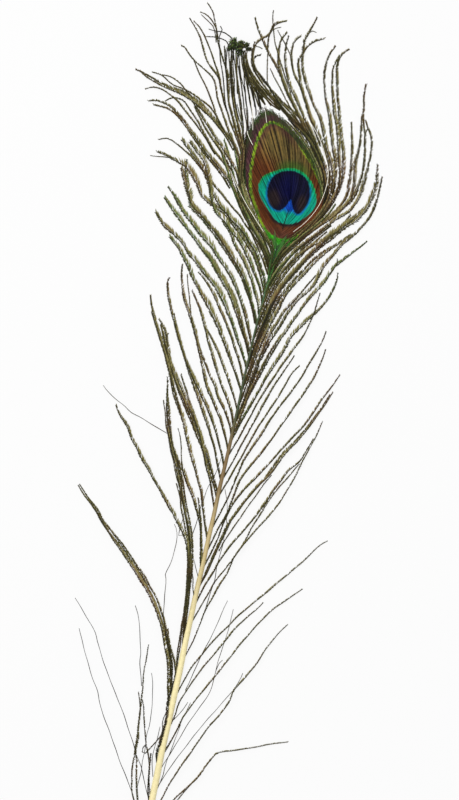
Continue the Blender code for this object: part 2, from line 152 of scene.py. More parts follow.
# The loose barbs of each region, traced from tip to root.
LEFT_OF_EYE = [
    *strands(NORMAL, OLIVE,
        (-86.6, 452.8, -79.6, 451.2, -70.8, 448.5, -60, 446.2, -52.8, 443.4, -44.8, 438.6, -36.5, 432,
         -29, 424.3, -25, 416, -21.5, 406.5, -15.5, 394.5, -6, 381, 0.6, 371),
        (-55.4, 443.8, -51.4, 439.4, -46.2, 433.9, -41.5, 429.1, -35.1, 423.2, -27, 414.5, -21.5, 404.5,
         -15.5, 394.5, -8.5, 383.5, -2, 373.5, 0.8, 368),
        (-76.7, 438.9, -72.3, 440, -65.3, 438.1, -58.3, 433.7, -50.3, 426.5, -42.2, 419, -34, 413,
         -26.3, 405.6, -18.6, 395.5, -12.4, 386.1, -4.7, 375.1, 0.3, 367),
        (-84, 452.6, -79.6, 450.1, -70.8, 447.2, -60, 444.9, -52.8, 442.1, -44.8, 437.3, -36.5, 430.7,
         -30, 424),
        (-54, 441.2, -47.2, 433, -42.5, 427.8, -36, 421.8, -28.6, 414),
        (-74, 437.8, -65.3, 436.8, -58.3, 432.4, -50.3, 425.2, -42.2, 417.8, -34.6, 411.8, -27.6, 405)),
    *strands(SLIM, OLIVE,
        (-78.3, 453.4, -73, 452.9, -67.1, 449.3, -59.8, 447.9, -50.3, 444.5, -44, 440.8, -37, 432.5),
        (-73, 453, -68.2, 452.9, -63.1, 450.7, -59.1, 447.6, -52, 442.6),
        (-79.7, 444.3, -76.3, 445.9, -71.2, 445.6, -64.2, 442.7, -58.7, 438.6, -53.9, 434.4, -48.8, 430.2,
         -44.8, 426.5, -38.5, 420),
        (-68.6, 440.5, -65.3, 443, -60.2, 442.7, -56.1, 439.4, -51, 434.6, -44.8, 427.3, -39.1, 421,
         -31.1, 414.4, -25, 404.5, -19.7, 395.5, -14.5, 389.5, -10.7, 386.1, -6.5, 381.5, -3, 377, 0.9, 370),
        (-67.7, 421.2, -63.8, 422.8, -58.7, 421.2, -51, 416.8, -43.3, 411.1, -35.1, 404.5, -29, 399.6,
         -23.3, 395, -19.7, 392.6, -16.1, 389, -12.5, 385.9, -8.9, 382.9, -5.8, 378.7, -2.8, 375.1,
         -0.4, 370.8, 1.1, 366),
        (-35, 420, -28, 411.5, -22.6, 404.5, -17.6, 397.5, -12.6, 391, -8, 386.4, -4, 382, 0.9, 374)),
    *strands(BROAD, GREEN,
        (-56.5, 423.6, -52.5, 419.9, -47.7, 415.5, -43, 411.5, -36.5, 402, -30.5, 395, -26.9, 392.6,
         -23.3, 389.6, -19.7, 387.8, -16.1, 384.7, -12.5, 381.1, -9.5, 378.1, -6.4, 373.9, -3.4, 369,
         -1, 364.8, 0.6, 360),
        (-67.3, 415.2, -61.6, 414.1, -55.8, 412.2, -50.6, 410.2, -44.8, 404.2, -39.5, 397.7, -33.6, 394.4,
         -28.4, 392.4, -24.4, 389, -20.6, 386.2, -16.8, 383, -13.2, 379.6, -9.8, 376, -6.8, 371.6,
         -3.8, 366.6, -1.2, 361.6, 0.6, 357),
        (-52.5, 423.2, -48.1, 419.6, -43.7, 415.9, -40.2, 410, -38, 404.2, -35.6, 397.5, -32.3, 392,
         -28.7, 389.6, -25.1, 387.1, -22.7, 384.1, -19.7, 382.3, -16.1, 378.7, -12.5, 374.5, -8.9, 369.6,
         -5.8, 365.4, -2.8, 360.6, -0.4, 355.7, 0.6, 351.5),
        (-28, 388.4, -22.7, 383.5, -19.7, 378.7, -16.1, 374.5, -13.1, 370.8, -9.5, 366, -6.4, 361.2,
         -3.4, 355.7, -1, 350.9, 0.2, 346.7),
        (-24, 402, -18.4, 395.8, -13.6, 389.6, -9.4, 385, -5.6, 381, -2.4, 376.8, 0.9, 371.6),
        (-51.8, 414.6, -51.5, 410, -49.2, 402.3, -46.2, 396.7, -45, 392, -41.4, 389.6, -37.2, 386.5,
         -33, 382.9, -29.3, 379.9, -26.3, 376.9, -22.7, 373.9, -19.1, 370.2, -16.1, 367.2, -12.5, 363,
         -8.9, 357.6, -5.8, 352.7, -2.8, 347.3, -0.7, 341.9),
        (-61.4, 385.2, -55.8, 379.8, -50, 376.6, -45, 373.3, -41.4, 369, -37.2, 366, -33, 362.4, -28.1, 358.8,
         -23.9, 355.1, -19.7, 350.3, -15.5, 344.3, -12.5, 340.3, -6.5, 330.5, -1.5, 322, 0, 319),
        (-53.9, 409.7, -51.4, 404.9, -47.5, 397.6, -43, 391.8, -38.6, 388.6, -33.6, 384.6, -28.4, 380.6,
         -24, 376.6, -19.8, 372.4, -16, 368.6, -12, 363.8, -8.2, 358.2, -5, 352.6, -2, 346.8, 0.2, 341),
        (-58.2, 399.2, -54.3, 395.6, -47.3, 387.9, -45, 386, -41.4, 383, -37.2, 379.3, -33, 376.3,
         -29.3, 373.9, -26.9, 370.8, -23.3, 367.8, -19.7, 364.2, -16.7, 360.6, -13.1, 355.7, -9.5, 350.3,
         -6.4, 344.9, -4.6, 340.7, 0, 331),
        (-58.7, 393.6, -54.7, 389.7, -47.3, 383.1, -40.2, 376.9, -37.2, 374.5, -33, 370.8, -29.3, 367.8,
         -25.7, 363.6, -22.1, 359.4, -18.5, 355.7, -14.9, 350.9, -11.3, 345.5, -8.3, 340.3, -3, 331, 0, 325),
        (-33.6, 372.2, -29, 368, -24.8, 364, -20.8, 360, -17, 355.6, -13.4, 350.6, -10, 345.2, -7, 340,
         -3.4, 332.8, 0, 327.4),
        (-51.7, 375.1, -47.7, 371.6, -45, 369, -41.4, 364.2, -38.4, 360.6, -35.4, 356.4, -31.1, 351.5,
         -26.9, 346.7, -22.1, 340.7, -14.6, 330.6, -8, 320.3, -1.7, 310, 0, 307)),
    *strands(FINE, LUSH,
        (-22.5, 409, -19, 402, -14.4, 395.5, -10.4, 390.2, -5.6, 385, -1.4, 380, 0.9, 375.5),
        (-16, 397, -11.8, 391.5, -7.6, 387, -3, 382.6, 0.6, 377),
        (-13, 392.6, -9.4, 388, -5.6, 383.6, -2.4, 378.4, 0.9, 371.6),
        (-9.6, 389.4, -6.4, 385.6, -3.2, 381, -0.8, 376.2, 1, 372.6),
        (-6.2, 387.6, -3.6, 384, -1, 379.2, 1, 374.6),
        (-3, 386, -0.8, 382, 1, 377),
        (0, 387, 0.3, 380, 0.8, 374, 1.4, 364),
        (4, 387, 3.2, 380, 2.4, 374, 1.6, 365),
        (-2.4, 387.6, -0.8, 381, 0.4, 375, 1.2, 366),
        (6.4, 387.6, 4.6, 381, 3, 375, 1.7, 366)),
    *strands(NORMAL, LUSH,
        (-31, 437, -28, 430.5, -25.8, 424, -23.8, 416, -21.4, 408, -18, 401.6, -14.4, 396.4, -10.8, 392,
         -7, 388, -3.2, 384.4, 0.2, 380.8, 1.2, 376),
        (-33, 432, -29.6, 424.6, -26.6, 417.4, -23.4, 409, -19.6, 402, -15.6, 396.4, -11.6, 391.6,
         -7.8, 387.4, -4, 383.4, 0.8, 377.6),
        (-36, 428, -31.4, 420.4, -27.6, 412.6, -24, 405.4, -20, 399, -16, 393.4),
        (-40, 427, -34.6, 419.6, -30, 412, -26, 404.6, -21.6, 398, -17, 392.4),
        (-25.4, 416.6, -22.6, 408.4, -18.8, 401.4, -14.8, 395.8, -10.8, 391, -6.6, 386.6, -2.6, 382.6,
         1, 378)),
    *strands(FINE, OLIVE,
        (-70, 412.5, -66.9, 412.8, -61, 413.5)),
]

PLUME_LEFT = [
    *strands(SLIM, OLIVE,
        (-58.9, 493, -55.2, 489.5, -53.4, 485.7, -51.4, 480.9, -49.9, 476.5, -47.3, 470.7, -42.8, 463.3,
         -40.2, 457.8, -38.8, 452.3, -37.7, 447, -35.8, 442.5, -33.4, 438, -31, 433.5, -28.3, 429,
         -25.5, 423.5, -24.2, 417.5, -23.2, 410.5, -21.8, 404, -18.6, 398.4, -14.6, 392.6, -9.8, 386.6,
         -2.6, 378.4, 0.9, 373.5),
        (-61.3, 487.9, -58, 487.2, -54.7, 485, -51.7, 481.3, -50, 477.5),
        (-65.8, 483.9, -62.4, 480, -58.7, 475.4, -55.8, 469.9, -52.6, 464.8, -49.5, 461.5, -45, 457.5,
         -43.2, 452.7, -41, 448.7, -39.5, 445.4, -37.7, 442.7, -35, 438, -32.5, 434.2, -29.6, 429.5,
         -26.7, 424.7, -25, 419.5, -24, 413, -22.6, 406.4, -19.4, 399.8, -15.2, 393.8, -10.4, 387.6,
         -3.2, 379.2, 0.8, 374.5),
        (-63.6, 482.8, -59.8, 480, -54.3, 473.4, -49.2, 465.2, -45.5, 458.6, -42.9, 452.7, -40.2, 447),
        (-66.9, 469.3, -65.7, 469.4, -62.4, 466.3, -58, 463.1, -52.8, 460.2, -48.1, 457.1, -45.5, 452.3,
         -43.5, 447.2, -40.2, 442, -37.3, 437.5, -34.4, 432.4, -31.4, 428.4, -29.2, 424.7, -26, 419.9,
         -24.8, 413.5, -23.2, 407, -20, 400.4, -15.8, 394.4, -11, 388.4, -4, 380.4, 0.8, 375.5),
        (-60, 464.6, -56.5, 459.8, -52.1, 454.2, -48.8, 450, -46.2, 445.6, -41.8, 438.6, -36.5, 432.5),
        (-46, 474, -44.5, 469, -42, 461, -40, 455.5, -38.8, 450, -37.2, 445.5, -35.1, 441.8, -32.5, 437,
         -30.3, 433, -28, 429, -25.5, 424.5, -24.4, 419, -23.6, 413, -22.2, 406, -19, 399.4, -14.8, 393.4,
         -10, 387.4, -3, 379),
        (-43.5, 476, -42.8, 470, -40.5, 463, -38.5, 456, -36.8, 451, -35, 446, -32.9, 440.8, -30.3, 436,
         -28.5, 432.4, -26.3, 428, -25, 424.3, -24.2, 418.5, -23.2, 412, -21.4, 405.2, -18.2, 398.8,
         -14.2, 392.8, -9.4, 386.8, -2.4, 378.2)),
    *strands(LINE, DARK,
        (-49.9, 483.3, -48.6, 481.7, -49.2, 478, -48.8, 475, -46.4, 467, -44, 461, -41.8, 455.4, -40.5, 450,
         -38.6, 444.6, -35.8, 439.6),
        (-41, 474, -40.5, 469, -38.5, 462, -36.8, 456, -35.2, 450, -33.2, 445, -30.9, 440, -28.6, 436,
         -26.7, 432, -25.2, 428, -23.6, 423, -22, 417),
        (-42.4, 475, -41.2, 468, -39.4, 461.4, -37.6, 454.6, -36, 448.6, -33.8, 443, -31.2, 438.2),
        (-38.5, 473, -36.5, 467, -34.5, 460, -32.5, 454.5, -30.8, 450, -29.3, 445.5, -27.6, 441, -26, 436.5,
         -25.2, 431, -24.6, 426),
        (-39.6, 473.6, -38.2, 467.4, -36.2, 460.6, -34, 454.8, -32, 449.4, -30.4, 444.4, -28.8, 439.6,
         -27.4, 434.6, -26.2, 429.6),
        (-35.8, 474, -34, 467, -32.5, 460, -31, 455, -29.7, 450, -27.6, 445, -26.1, 440, -25, 436),
        (-34.5, 473, -33, 466, -31.5, 462, -29.5, 456, -28, 451, -26, 446.5, -24.5, 443),
        (-31.5, 464, -29, 459.5, -27, 455, -25, 450, -23.5, 446, -22.8, 443.5),
        (-28.5, 460.5, -25.5, 456, -23, 451.5, -21, 447.5),
        (-37.4, 475.6, -35.6, 470, -33.6, 464.6, -30.6, 459.4, -27.6, 454.6, -24.8, 449.4),
        (-38.6, 474.6, -37.6, 468, -35.2, 461.6, -33.2, 456.8, -31.6, 451.4),
        (-55.2, 480.6, -51, 480.2, -47.7, 480.2, -43.7, 478.5, -42.6, 477.6, -41.5, 474.6, -39.8, 468),
        (-56.1, 476.3, -51.7, 477.3, -46.6, 476.9, -44.4, 475.8, -43.8, 474.3, -43.4, 467, -41.6, 459.4,
         -39.4, 452.4, -37, 446.6, -34.4, 441.4),
        (-44.6, 472.6, -43.6, 466, -41.4, 458.4, -39.6, 452.6),
        (-40.4, 470.6, -38, 464, -35.6, 457.4, -34.2, 452),
        (-36.6, 466, -34, 460.4, -30.6, 453.4, -28.4, 447),
        (-30.2, 461, -27.8, 455.8, -25.8, 451.4, -24.4, 447.6),
        (-27, 458, -24.6, 453.4, -22.6, 449.4, -21.4, 446.6)),
    *strands(SLIM, BRONZE,
        (-41.8, 474.6, -40.8, 467, -38.4, 459, -36, 451.4, -33.6, 444.6, -31, 438.6),
        (-39.8, 474, -38.2, 466, -35.8, 458.4, -33.4, 451.6, -31.2, 445.4, -29.2, 439.4),
        (-37.6, 474.6, -35.8, 468.6, -33, 462, -30, 456, -27.4, 450.4, -25.4, 445.4),
        (-36.2, 473.6, -34.2, 467.8, -31.2, 462.2, -28, 457.2, -25, 452.4, -22.4, 448.2),
        (-35.2, 474, -33, 468, -29.8, 462.8, -26.2, 458.4, -22.8, 454, -19.6, 450),
        (-34.4, 472, -31.6, 466.4, -28, 461.6, -24, 457, -20, 452.8, -16.4, 449.8)),
    *strands(FINE, LUSH,
        (-33.4, 447, -30.8, 441.6, -28.6, 437, -27, 432, -25.6, 427),
        (-28.6, 446, -27, 441.4, -25.8, 437.6),
        (-31.6, 440, -29.4, 435.2, -27.4, 430.8, -25.4, 425.6, -24, 421.6),
        (-29.8, 431.4, -27, 426, -24.6, 420.6, -22.8, 415.4)),
    *strands(FINE, OLIVE,
        (-60.5, 487, -56, 484, -52.8, 481.3, -50.2, 474.8)),
]

PLUME_RIGHT = [
    *strands(BUNDLE, OLIVE,
        (-31.6, 476, -31.4, 472.6, -30.6, 468.4, -27.6, 463.8, -22.6, 459, -16.8, 454.6, -10.6, 450,
         -4.2, 445.8, 2, 441.4, 8, 435.6, 13, 428.4, 17.5, 419.6)),
    *strands(BUNDLE, BRONZE,
        (-34.4, 474, -33.8, 469, -31.6, 464.6, -27.4, 460, -22.4, 455.8, -16.8, 451.8, -11.6, 448.6)),
    *strands(THICK, BRONZE,
        (-35.6, 471, -34, 465.6, -31.2, 461, -27.2, 456.8, -22.8, 452.8, -19.4, 449.6),
        (-33, 466, -29.4, 461.4, -24.6, 457.2, -19, 453)),
    *strands(NORMAL, DARK,
        (-27, 473.5, -30, 471.4, -28.6, 466.8, -22, 460.8, -14.6, 453.4, -7, 446.8)),
    *strands(NORMAL, OLIVE,
        (-18, 493, -21.2, 491.2, -23.7, 489, -25, 484.6, -27.4, 482, -30.3, 479.1, -31.2, 475.6, -30.8, 471,
         -28.6, 465.6, -24, 460.6),
        (-22, 491.8, -24.2, 489.8, -24.6, 487, -25.2, 482, -24.4, 477.6),
        (-34.2, 491, -32.2, 487.2, -28.9, 482.4, -24.5, 476.5, -19.3, 470.3, -16, 466.3, -10.5, 458.2,
         -3.9, 450.1, 0.1, 445.4, 5.2, 440, 12.3, 430.6, 16, 422.5, 20.5, 411),
        (-16.5, 487.5, -18.4, 483.1, -18.9, 477.3, -17.9, 471.4, -15.3, 465.5, -11.3, 459.3, -6, 452.7,
         0.4, 444, 7, 436.5),
        (-15.7, 486.1, -15.8, 481.3, -15.1, 475.4, -13.1, 468.8, -10.2, 462.2, -6.1, 456.4, -1, 449.8,
         2.7, 445, 8.2, 437.9, 14.5, 426.2, 18.6, 416, 20.2, 407),
        (-9.4, 487.2, -12, 484.2, -12.6, 479.8, -11.6, 474.3, -9.4, 468.8, -6.1, 464.1, -3.2, 460.4, 1.2, 453,
         6.4, 444.2, 12, 435.4),
        (-3.6, 498.2, -4.7, 493.8, -6.1, 488.6, -7.2, 484.2, -6.9, 479.1, -5.6, 471, -2.8, 465.5, 0.5, 460,
         4.1, 454.5, 8.9, 447.9, 14.2, 436.4, 18.2, 429.5, 20.8, 423.2, 21.9, 414, 20.6, 405.5, 16.4, 397,
         8.5, 385.5, 2.2, 377),
        (2.3, 488.3, -1.4, 486.4, -4.7, 483.1, -6.9, 478, -8.3, 474.3, -6.5, 468.1, -3.9, 461.9, 0.5, 453.8,
         4.1, 447.2, 9.8, 440.5, 14.5, 433.5, 18.2, 426.2, 20.6, 416.5, 20.8, 407.5),
        (8.5, 486.3, 6.5, 481.3, 5.6, 475, 6.3, 469.2, 9, 460, 12, 452.7, 14.5, 445.7, 17.5, 437.5,
         20.4, 430.2, 22.2, 422.9, 23.2, 412, 21.4, 403.5, 16.8, 395.8, 8, 384, 2, 375),
        (11.5, 481.8, 9.6, 475.4, 10.5, 468.1, 12.7, 460, 15.3, 452, 18.6, 443.4, 21.9, 432, 24.1, 424.3,
         25, 417, 23.7, 410, 20.8, 403.1, 17.5, 396.5, 10.5, 387, 1.7, 373),
        (15.6, 486.1, 13.6, 483.9, 11.6, 480.2, 11.6, 475.1, 13.3, 467, 15.1, 460, 18.9, 448.3, 22.6, 437.2,
         25, 428.7, 26.2, 419.9, 25.4, 412.6, 22.6, 405.3, 18.9, 398.2, 12, 388.5, 1.5, 371)),
    *strands(NORMAL, LUSH,
        (-8, 444.4, -3.2, 441, 2.2, 436.8, 7.6, 431.6, 12, 425.8, 15.8, 419.2, 18.2, 412),
        (-9, 443.9, -4.2, 440.6, 1.2, 436.2, 6.6, 431, 11, 425.4, 14.8, 419, 17.6, 412, 18.2, 405)),
    *strands(NORMAL, DARK,
        (-7, 445.2, -2.4, 441.8, 3.4, 437.2, 8.6, 432, 13, 426, 16.6, 419.4, 19, 411.6, 19, 404.6),
        (-8, 446.9, -3.4, 443.4, 2.8, 438.8, 8.4, 433.6, 13, 427.6, 17, 420.6, 19.6, 412, 18.8, 404),
        (-6, 447.8, -0.8, 444.2, 5, 439.4, 10.4, 434, 15, 427.4, 18.6, 419.6, 20.6, 411, 19, 402)),
    *strands(NORMAL, OLIVE,
        (-31.4, 479.4, -31.2, 475, -30.6, 470.6, -28, 465.4, -22, 460.2)),
    *strands(FINE, OLIVE,
        (-20.2, 489.4, -23, 487.5, -24.5, 485.7, -26.4, 482.6),
        (-25.4, 482.4, -24.6, 478, -23, 470.7, -21.9, 465.2, -20.8, 461, -17.6, 455.5),
        (-25.7, 496.9, -25, 491.6, -23.2, 485.3, -21.2, 479.8, -19, 476, -15.6, 470, -11.8, 463.6,
         -7.4, 456.2),
        (-21.6, 487.5, -16, 480.9, -12.4, 476.2, -9.2, 468.4),
        (-2.3, 490.8, -5.2, 490.6, -6.4, 487.6),
        (-30.3, 477.3, -26.9, 476.7),
        (-21, 468, -15, 460.2, -8, 452, 0, 443.6, 8, 434.6)),
]

RIGHT_OF_EYE = [
    *strands(NORMAL, BRONZE,
        (24.4, 450.7, 25.9, 445, 27.6, 437.2, 29, 428.7, 30.3, 417, 29.6, 411.1, 25.9, 404.5, 21.9, 399.4,
         14.2, 390, 6.8, 380.5, 1.5, 369),
        (27.4, 470.7, 27.7, 464.8, 29, 458.9, 29.4, 450.9, 30.9, 440, 30.9, 429.5, 32.5, 419.6, 31.8, 411.5,
         26.3, 402.3, 18.9, 394.7, 11.2, 386.4, 5.6, 378, 1.4, 366),
        (29.4, 456, 31, 449.4, 32.5, 445.2, 34, 437.2, 35.4, 429.5, 35.1, 420.7, 34, 414.4, 30.7, 408.9,
         23, 400, 14, 388.7, 6, 376.6, 1.3, 363),
        (31.2, 453.1, 33.2, 449.4, 35.8, 445, 37.1, 437.9, 37.5, 429.8, 37.2, 420.7, 36.2, 413.3, 32.9, 406.4,
         27.7, 401.2, 20, 392.3, 14.2, 385.8, 7.7, 376.2, 1.1, 359),
        (34.3, 405.3, 31.8, 400.1, 28.8, 396, 24.8, 390.8, 19.7, 386.4, 14.5, 381, 9.8, 374.6, 4.2, 364,
         0.9, 353)),
    *strands(BROAD, BRONZE,
        (41.9, 432.9, 43.1, 425.1, 43, 417, 40.9, 408.6, 37.6, 402.7, 33.2, 398.5, 28.5, 392.7, 23.3, 386.4,
         18.9, 380.2, 12.3, 368.8, 7.6, 360, 5, 350, 3.4, 341, 2.2, 333, 1.2, 324, 0.3, 318),
        (40, 409.6, 34.6, 401.8, 29.6, 395.8, 24.4, 389.4, 19.6, 382.6, 15.4, 375.4, 11.6, 368.4, 8.6, 361.8,
         6.4, 354.4, 4.8, 346, 3.6, 337, 2.6, 327, 1.4, 316, 0.3, 309)),
    *strands(NORMAL, OLIVE,
        (45.2, 427.4, 45.5, 421.4, 45.3, 414.1, 44.2, 406.7, 39.5, 397.9, 34.3, 391, 30.3, 383.5, 25.9, 374.7,
         24.1, 367, 17.8, 357.5, 14.4, 350, 12.3, 344, 9.9, 337.9, 8.5, 334.2, 7.1, 328.2, 6, 324, 5.2, 318,
         4.4, 312, 3.4, 306, 2.2, 300, 0.4, 293),
        (24, 372, 19.6, 364, 15.6, 356.6, 12.4, 350.5, 10.4, 344, 8.5, 340, 7.1, 334.7, 6.3, 330.5,
         5.3, 325.8, 4.6, 320.3, 3.7, 313.8, 3, 308.2, 2.2, 303.6, 1.6, 297.5, 0.4, 290),
        (36.5, 396, 30.5, 389, 24.5, 381.4, 18, 371, 12, 360.4, 9.2, 350, 6.9, 342.6, 5.1, 334.7, 3.7, 325.8,
         2.3, 314.7, 1, 303.6, 0.3, 299),
        (27.5, 386.8, 21.5, 379.8, 15, 369.4, 9.6, 358, 7.2, 350, 5.4, 342.6, 3.7, 334.7, 2.6, 326, 1.4, 315,
         0.4, 308),
        (33.2, 449.4, 32.3, 445.4, 33.4, 440)),
    *strands(NORMAL, BRONZE,
        (26, 398, 20.5, 391, 15.5, 384.6, 11, 377.6, 7.4, 370, 4.6, 361.6, 2.6, 352.6, 1.2, 344, 0.3, 338),
        (24.6, 394.6, 19, 386.6, 14, 379, 9.4, 370.6, 6, 361.6, 3.8, 352.6, 2, 343, 0.3, 333)),
    *strands(SLIM, GREEN,
        (14, 385, 9.6, 378, 6, 370.4, 3.4, 362, 1.8, 353.6, 0.4, 346),
        (10, 380, 6.4, 373, 3.6, 365.6, 1.8, 358, 0.6, 352)),
    *strands(NORMAL, DARK,
        (15, 376, 11.5, 369, 8.6, 362, 6, 354, 4, 346, 2.6, 338, 1.4, 329, 0.4, 322)),
    *strands(NORMAL, LUSH,
        (26, 409, 22.6, 402, 16.2, 393.6, 9.2, 384.4, 2.4, 374),
        (23.4, 396, 17, 388.4, 10.4, 379.6, 4.6, 369.8, 1, 360.5),
        (20.4, 391.8, 13.2, 383.6, 7.2, 374.6, 2.6, 365, 0.9, 357)),
    *strands(FINE, LUSH,
        (21.8, 412, 20.2, 405, 16.8, 399, 12.6, 393.4, 8, 388, 4.4, 382.6),
        (11.8, 391.6, 8.4, 387.2, 5.2, 382, 2.8, 376, 1.2, 369.4),
        (8.6, 388.6, 6, 384.6, 3.8, 380, 2, 374.8),
        (6, 387, 4.2, 383, 2.8, 378.6)),
]

RIGHT_MIDDLE = [
    *strands(NORMAL, GREEN,
        (45.1, 394.4, 40.9, 388.6, 36.5, 383.5, 31, 376.2, 28.8, 369.6, 23.7, 360.4, 18.9, 349.9, 13.8, 337.5,
         9.8, 325.1, 5.7, 311.1, 3, 300, 0.2, 290),
        (32.7, 382.6, 33, 380.6, 30.6, 374),
        (34.3, 375.6, 34.6, 371.8, 34, 367, 30.7, 358.2, 25.5, 350, 20.8, 343, 18.4, 339, 15.6, 329,
         12.2, 320, 9, 310.4, 5.8, 300, 2.6, 289, 0.3, 281)),
    *strands(NORMAL, BRONZE,
        (13.4, 338.6, 12, 335.2, 10.2, 330.6, 8.9, 326.8, 7.9, 323, 7, 319, 6, 314.5, 5, 309.5, 4, 304.5,
         3.2, 299.5, 2.4, 294, 1.2, 288, 0.3, 284)),
    *strands(SLIM, OLIVE,
        (27.7, 364.1, 27.4, 355.6, 26.3, 349, 24.4, 341.6, 20, 330.9, 15.3, 319.6, 10.5, 307.1, 6.5, 292.7,
         3.8, 283.9, 0.3, 273),
        (22.1, 330.7, 19.7, 324.3, 16.7, 316.6, 13.1, 305.3, 9.8, 294.5, 6.4, 282, 3.4, 271.4, 0.4, 262),
        (25.9, 326.2, 22.6, 320.7, 20.4, 313.3, 16, 301.6, 12, 290.5, 7.6, 276.5, 4.1, 264.1, 0.3, 253),
        (34.8, 346, 34, 340.1, 31.8, 332.4, 28.1, 321, 23.3, 310, 18.9, 300, 14.2, 287.5, 9.4, 275.1,
         6.3, 260, 4, 249, 0.2, 235),
        (36.6, 337.2, 36, 330.6, 34, 321.4, 29.2, 309.3, 25.5, 300, 19.7, 286.4, 14.5, 275.1, 9, 263,
         6.3, 246, 3.4, 236, 0.2, 223),
        (46.4, 326.2, 44.2, 320.7, 39.8, 310.4, 35.4, 299.6, 28.8, 287.9, 22.2, 276.2, 15.3, 264.8,
         9.4, 253.8, 6, 243, 4, 229, 0.2, 215),
        (43.8, 315.4, 40.4, 306, 36.8, 298.6, 32.6, 290.4, 26, 278.8, 22.4, 270, 16.4, 259.4, 11.3, 248.6,
         7.4, 239, 4.8, 226, 0.3, 204),
        (45, 317, 41.7, 307.8, 38, 299.6, 34.3, 291.9, 27.7, 280.2, 24.1, 271.8, 17.8, 261.5, 12.3, 250,
         8.7, 241.6, 5.8, 228, 3.4, 216, 0.3, 206),
        (40.4, 292, 38.6, 286, 36.5, 279.8, 32.1, 274.3, 29.2, 268.5, 26.3, 261.5, 22.6, 252, 17.5, 241.9,
         13.4, 234.2, 9, 224.7, 6.3, 217, 3, 207, 0.4, 196)),
    *strands(FINE, OLIVE,
        (24, 270, 21.5, 265.2, 19.3, 259.3, 16, 252, 12.7, 244.1, 9, 234.6, 6.6, 227),
        (43.1, 301.6, 42, 295.2, 39.1, 285.3, 37.5, 280.2, 36.2, 273.6, 34, 265.9, 29.9, 255.3, 25.2, 246.3,
         20, 236.8, 16, 229.1, 12, 219.9, 8.7, 213, 6, 205, 3.4, 197, 0.4, 187),
        (36.4, 278.4, 32.1, 270.3, 27, 260.4, 23.9, 252.3, 20, 241.9, 17.5, 232, 14.9, 226.3, 13.1, 217.7,
         10.5, 210.4, 8.3, 202.3, 6.3, 195.6, 4.9, 187.2, 3.2, 178, 0.5, 168)),
    *strands(WIRE, OLIVE,
        (2.7, 257.8, 5.6, 251.2, 6.7, 244, 7.8, 240.5, 6.9, 236, 7.8, 232.4, 7.3, 222, 7.7, 213, 6.7, 204,
         6.3, 196.8)),
]

RIGHT_LOWER = [
    *strands(FINE, OLIVE,
        (58.6, 243.7, 54.9, 240.3, 50.8, 234.2, 43.9, 224.7, 36.2, 214.4, 28.8, 205.3, 22.6, 196.7,
         19.3, 191.2, 13.8, 183.1, 8.7, 172.9, 5.1, 164.6, 0.6, 149),
        (51.5, 217.9, 47.5, 213.3, 39.8, 204.9, 34.3, 197.1, 28.8, 187.2, 23.3, 175.8, 18.6, 166.6,
         13.8, 156.7, 9, 146.5, 6.5, 140, 4.1, 130, 0.7, 121),
        (33.8, 206.9, 31, 202.3, 26.6, 196.3, 22.2, 189.4, 17.1, 179.5, 11.6, 168.5, 7.2, 158.6, 3.8, 149.4,
         3, 141, 0.7, 132),
        (48.3, 198.8, 44.6, 193, 40.2, 184.6, 36.2, 174.3, 30.7, 163.9, 29, 160.8, 27.7, 154.5, 24.4, 147.1,
         20.8, 140.5, 17.1, 131.7, 12.3, 120.3, 8.3, 109.3, 5.7, 100.5, 1, 87),
        (61.2, 141.4, 54.9, 139.2, 45, 135.3, 34.3, 131.3, 28.4, 128.9, 26.6, 127, 24.1, 121.8, 20, 113.3,
         14.2, 104.9, 11.8, 101, 1.2, 80),
        (19.8, 112.8, 17.1, 108.2, 13.4, 101.2, 8.6, 93, 2, 82)),
    *strands(WIRE, OLIVE,
        (20, 200.3, 19.9, 194.9, 19.3, 185.3, 18.4, 175.1, 18, 165.2, 17.5, 158.2, 14.2, 149, 10.9, 141.2,
         8.3, 133.9, 5.2, 124.3, 0.8, 111),
        (20.2, 174.3, 18.6, 172.1, 18.1, 168),
        (16.3, 203.8, 14.2, 194.5, 12.2, 185.3, 10.1, 177.3, 7.2, 164.1, 5.4, 155.6),
        (31.4, 170.1, 30.9, 167.4, 29.8, 163.6, 28.6, 160),
        (28.3, 160, 22.6, 149.8, 17.8, 140.8, 12.7, 130.6, 7.9, 120.3, 4.5, 111.1, 0.9, 102),
        (7.8, 150, 6.3, 146, 4.5, 142.7, 3, 140.1),
        (9.3, 150, 7.1, 140.5, 4.1, 129.8, 0.8, 119),
        (6.7, 138.3, 5.4, 128, 3.8, 116, 3.6, 111, 1, 98)),
]

